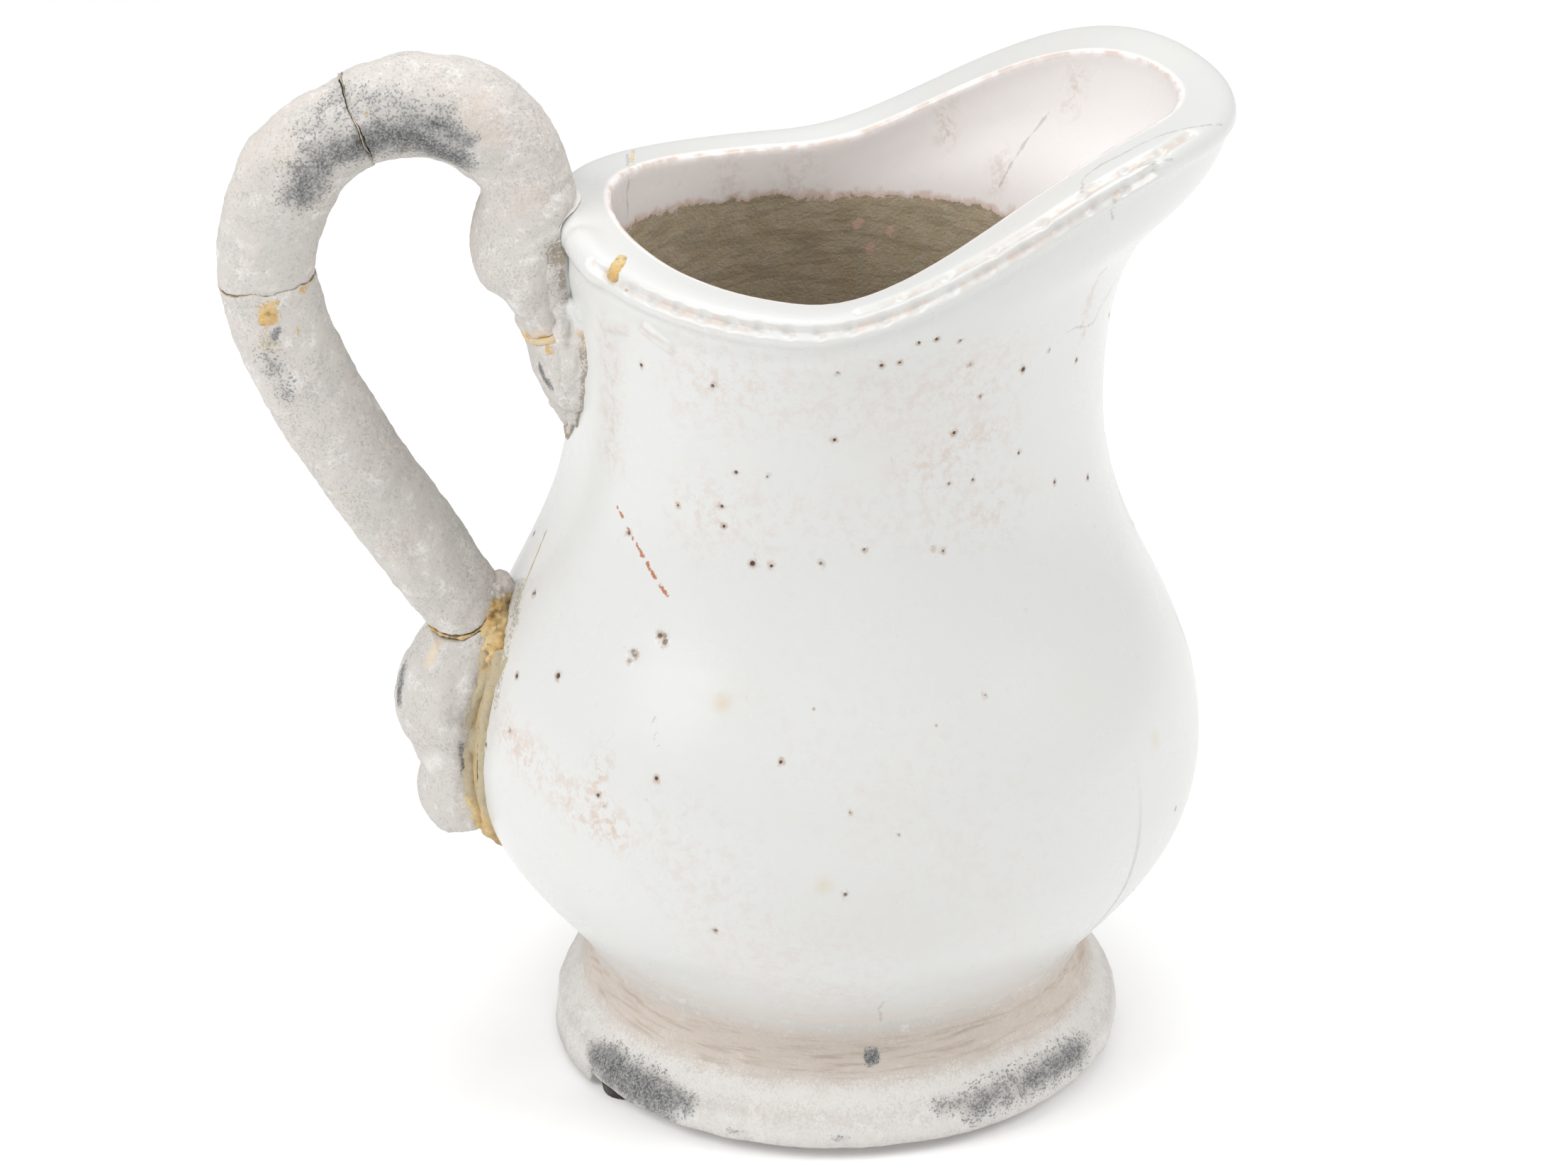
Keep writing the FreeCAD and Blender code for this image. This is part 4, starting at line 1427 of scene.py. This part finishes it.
def blob_line(finder, ends, size, stands):
    """Blobs of filler from one place to another, largest in the middle: (point, radius, stands)."""
    blobs = []
    for share in np.linspace(0, 1, BLOBS):
        radius = size * (0.65 + 0.35 * math.sin(math.pi * share))
        blobs.append((finder(*between(*ends, share)), radius, stands))
    return blobs


def small_fillers(material):
    """The ochre bits on the rim and on the shaft."""
    crack = blob_line(on_rim, CRACK_FILLER, 1.0, 0.22)
    filler_blobs("rim_crack_filler_cured", "rim_crack_filler", crack, UP, {"pale": 0.5}, material)
    chip = blob_line(on_rim, CHIP_FILLER, 3.0, 0.5)
    filler_blobs("rim_chip_filler_cured", "rim_chip_filler", chip, UP, {"pale": 0.35}, material)
    start, end, size, stands = beside("shaft_chip_filler", [((3, 8), (5, 3), 2.7, 0.3)])[0]
    spot = blob_line(on_handle, (start, end), size, stands)
    filler_blobs("shaft_chip_filler_cured", "shaft_chip_filler", spot, ACROSS, {"pale": 0.45}, material)


SLIVER_LOW = 124.5             # the run of filler starts at this height
SLIVER_RISE = 16.5
SLIVER_ANGLE = 190             # its top is here
SLIVER_LEAN = 2                # and its bottom this many degrees round from it


def belly_sliver(tree, material):
    """Thin run of filler that ran up the belly from the lower break."""
    path = [
        on_vessel(SLIVER_ANGLE + SLIVER_LEAN * (1 - share) ** 2, SLIVER_LOW + SLIVER_RISE * share)
        for share in np.linspace(0, 1, 5)
    ]
    spots = along(path, 0.4)
    thin = np.linspace(1.0, 0.55, len(spots))
    mesh = roughened(fused(bead(tree, spots, thin, 0.3, 96), 0.2), (0.15, 2.2, 97))
    mend_layers(mesh, {"dirt": 0.55, "pale": 0.1})
    show(mesh, "belly_filler_run", ["lower_joint_filler"], material)


def cove_share(height):
    """How brown the hollow over the foot is at each height: partly the bare clay's colour, partly painted
    shade that darkens into the hollow.
    """
    return eased((46 - height) / 22)


# How far the slip stands out: by height on the body's wall, then by radius on the foot's shoulder
COVE_WALL = [(38, -0.9), (36, -0.35), (34, 0.05), (32, 0.3), (30, 0.55), (28.2, 0.95), (26.6, 1.6)]
COVE_SHOULDER = [(63.4, 2.6), (64.4, 1.7), (65.6, 1.0), (66.8, 0.5), (68, 0.15), (69, -0.15), (69.9, -0.9)]
COVE_CHIPS = [(235, 25.6, 1.5), (277, 24.4, 1.2)]     # angle, height, size
COVE_CHIP_RADIUS = 62.5
COVE_STEPS = 540
COVE_BODY = 1.5
COVE_CAST = 30.0               # height from which the foot's shoulder is seen


def cove_profile(tree, angle):
    """Surface of the slip at one angle, and the back of it, as (radius, height) rows."""
    way, front, back = spoke(angle), [], []
    for height, stands in COVE_WALL:
        wall = hit(tree, way * FAR + UP * height, -way)
        radius = math.hypot(wall.x, wall.y) + stands
        front.append((radius, height))
        back.append((radius - COVE_BODY - stands, height))
    for radius, stands in COVE_SHOULDER:
        top = hit(tree, way * radius + UP * COVE_CAST, -UP)
        front.append((radius, top.z + stands))
        back.append((radius - 0.4, top.z - COVE_BODY))
    return front + back[::-1]


def cove_mesh(tree):
    angles = np.arange(COVE_STEPS) * 360 / COVE_STEPS
    grid = evened(np.array([cove_profile(tree, angle) for angle in angles]), True, 2)
    points = [
        spoke(angle) * radius + UP * height
        for angle, ring in zip(angles, grid) for radius, height in ring
    ]
    mesh = bpy.data.meshes.new("cove")
    faces = ring_faces(COVE_STEPS, grid.shape[1], closed=True)
    mesh.from_pydata([world(point) for point in points], [], faces)
    return changed(joined([mesh]), "SUBSURF", levels=1, subdivision_type="SIMPLE")


def cove_piece(tree, material):
    """Slip that rounds the hollow between the body and the foot, with painted shade along the hollow's
    deepest line.
    """
    cove = roughened(cove_mesh(tree), (0.22, 9, 71), (0.1, 2.6, 72))
    mesh = joined([grown(remeshed("foot_luting_ring", 0.7, 1), -0.7), cove])
    clay_layers(mesh, FOOT_MARKS, finder=on_vessel)
    points = read_points(mesh)
    height = points[:, 2] + 1.2 * grain(points, 14, 73)
    set_layer(mesh, "glaze", 1.15 * (1 - cove_share(height)) * eased((height - 23) / 6))
    # painted shade: a beige band along the deepest line of the hollow, with the slip's own streaks in it
    set_layer(mesh, "beige", np.maximum(read_layer(mesh, "beige"), 1.05 * bands(24, 8.0, height)))
    chips = []
    for angle, level, size in COVE_CHIPS:
        start, end = [spoke(turn) * COVE_CHIP_RADIUS + UP * level for turn in (angle, angle + 2)]
        chips.append((start, end, size, 2.5))
    set_layer(mesh, "dark", np.maximum(read_layer(mesh, "dark"), paint(points, chips)))
    show(mesh, "foot_slip_cove", ["foot_luting_ring"], material)


def pad_piece(node, material):
    """Stick-on bumper: a low dome with rounded edges, standing on its crown."""
    low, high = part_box(node)
    mesh = remeshed(node, 0.35, 2)
    points = read_points(mesh)
    centre = (np.array(middle(node)) - np.array(AXIS)) / MM
    reach = np.hypot(points[:, 0] - centre[0], points[:, 1] - centre[1])
    radius = (high.x - low.x) / 2 / MM
    drawn_in = 1 - 0.09 * (1 - points[:, 2] / (high.z / MM)) * (reach / radius) ** 2
    points[:, 0] = centre[0] + (points[:, 0] - centre[0]) * drawn_in
    points[:, 1] = centre[1] + (points[:, 1] - centre[1]) * drawn_in
    write_points(mesh, points)
    show(mesh, f"{node}_bumper", [node], material)


# --- Room, light and camera ---
FLOOR_REACH = 3.0              # metres, as the bend is
BACKDROP_BEND = 1.2
FLOOR_WHITE = (0.93, 0.93, 0.93)
FLOOR_GLOW = 0.12              # the table is lit from below as well
CAMERA_TARGET = (-12.4, 0.0, 119.5)
CAMERA_DISTANCE = 1300.0
CAMERA_ELEVATION = 24.76
CAMERA_LENS = 122.5            # on the 36 mm wide default sensor
LIGHTS = [
    # name, azimuth from the camera's side, elevation, distance and size in metres, power in watts
    ("softbox_left", -62, 38, 1.5, 1.1, 12.8),
    ("softbox_right", 75, 38, 1.7, 1.0, 12.4),
    ("softbox_front", -8, 50, 1.5, 1.2, 2.8),
    ("softbox_top", 165, 80, 1.6, 1.3, 13.2),
]
WORLD_STRENGTH = 0.31


def floor_piece():
    """Pale floor that curves up into a backdrop far behind and around."""
    rows = [(FLOOR_REACH, 0.0)]
    bend = [math.radians(step * 10) for step in range(1, 10)]
    rows += [(FLOOR_REACH + BACKDROP_BEND * math.sin(a), BACKDROP_BEND * (1 - math.cos(a))) for a in bend]
    angles = range(0, 360, 5)
    points = [spoke(angle) * reach + UP * height for reach, height in rows for angle in angles]
    mesh = bpy.data.meshes.new("studio_floor")
    mesh.from_pydata(points, [], [range(len(angles))] + ring_faces(len(rows), len(angles)))
    floor = placed("studio_floor", mesh)
    p = Painter("floor_paper")
    glow = {"Emission_Color": FLOOR_WHITE, "Emission_Strength": FLOOR_GLOW}
    mesh.materials.append(p.finish(FLOOR_WHITE, 0.9, p.bump(p.noise(3, 2), 0.01), **glow))


def aimed(name, data, target, azimuth, elevation, distance):
    """Puts a lamp or camera at a distance from its target, facing it."""
    a, e = math.radians(azimuth), math.radians(elevation)
    away = Vector((math.sin(a) * math.cos(e), -math.cos(a) * math.cos(e), math.sin(e)))
    holder = placed(name, data)
    holder.location = target + away * distance
    holder.rotation_euler = away.to_track_quat("Z", "Y").to_euler()
    return holder


def lights():
    for name, azimuth, elevation, distance, size, power in LIGHTS:
        lamp = bpy.data.lights.new(name, "AREA")
        lamp.shape, lamp.size, lamp.energy = "DISK", size, power
        aimed(name, lamp, middle("vessel_body"), azimuth, elevation, distance)
    sky = bpy.data.worlds.new("studio")
    sky.use_nodes = True
    background = sky.node_tree.nodes["Background"]
    background.inputs["Color"].default_value = (1.0, 1.0, 1.0, 1)
    background.inputs["Strength"].default_value = WORLD_STRENGTH
    bpy.context.scene.world = sky


def camera():
    lens = bpy.data.cameras.new("camera")
    lens.lens = CAMERA_LENS
    lens.clip_end = 20
    target = world(CAMERA_TARGET)
    bpy.context.scene.camera = aimed("camera", lens, target, 0, CAMERA_ELEVATION, CAMERA_DISTANCE * MM)
    bpy.context.scene.view_settings.view_transform = "Standard"


def build():
    clay = clay_material()
    adhesive = adhesive_material()
    vessel_piece(glaze_material())
    handle_pieces(clay)
    foot_piece(clay)
    made = surface_tree([piece.data for piece in bpy.data.objects if "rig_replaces" in piece])
    mend_pieces(adhesive)
    lower_chunk(adhesive)
    root_smear(made, clay)
    terminal_smear(made, adhesive)
    belly_sliver(made, adhesive)
    small_fillers(adhesive)
    cove_piece(made, clay)
    rubber = rubber_material()
    for node in sorted(frame["nodes"]):
        if node.startswith("foot_pad"):
            pad_piece(node, rubber)
    floor_piece()
    lights()
    camera()


build()
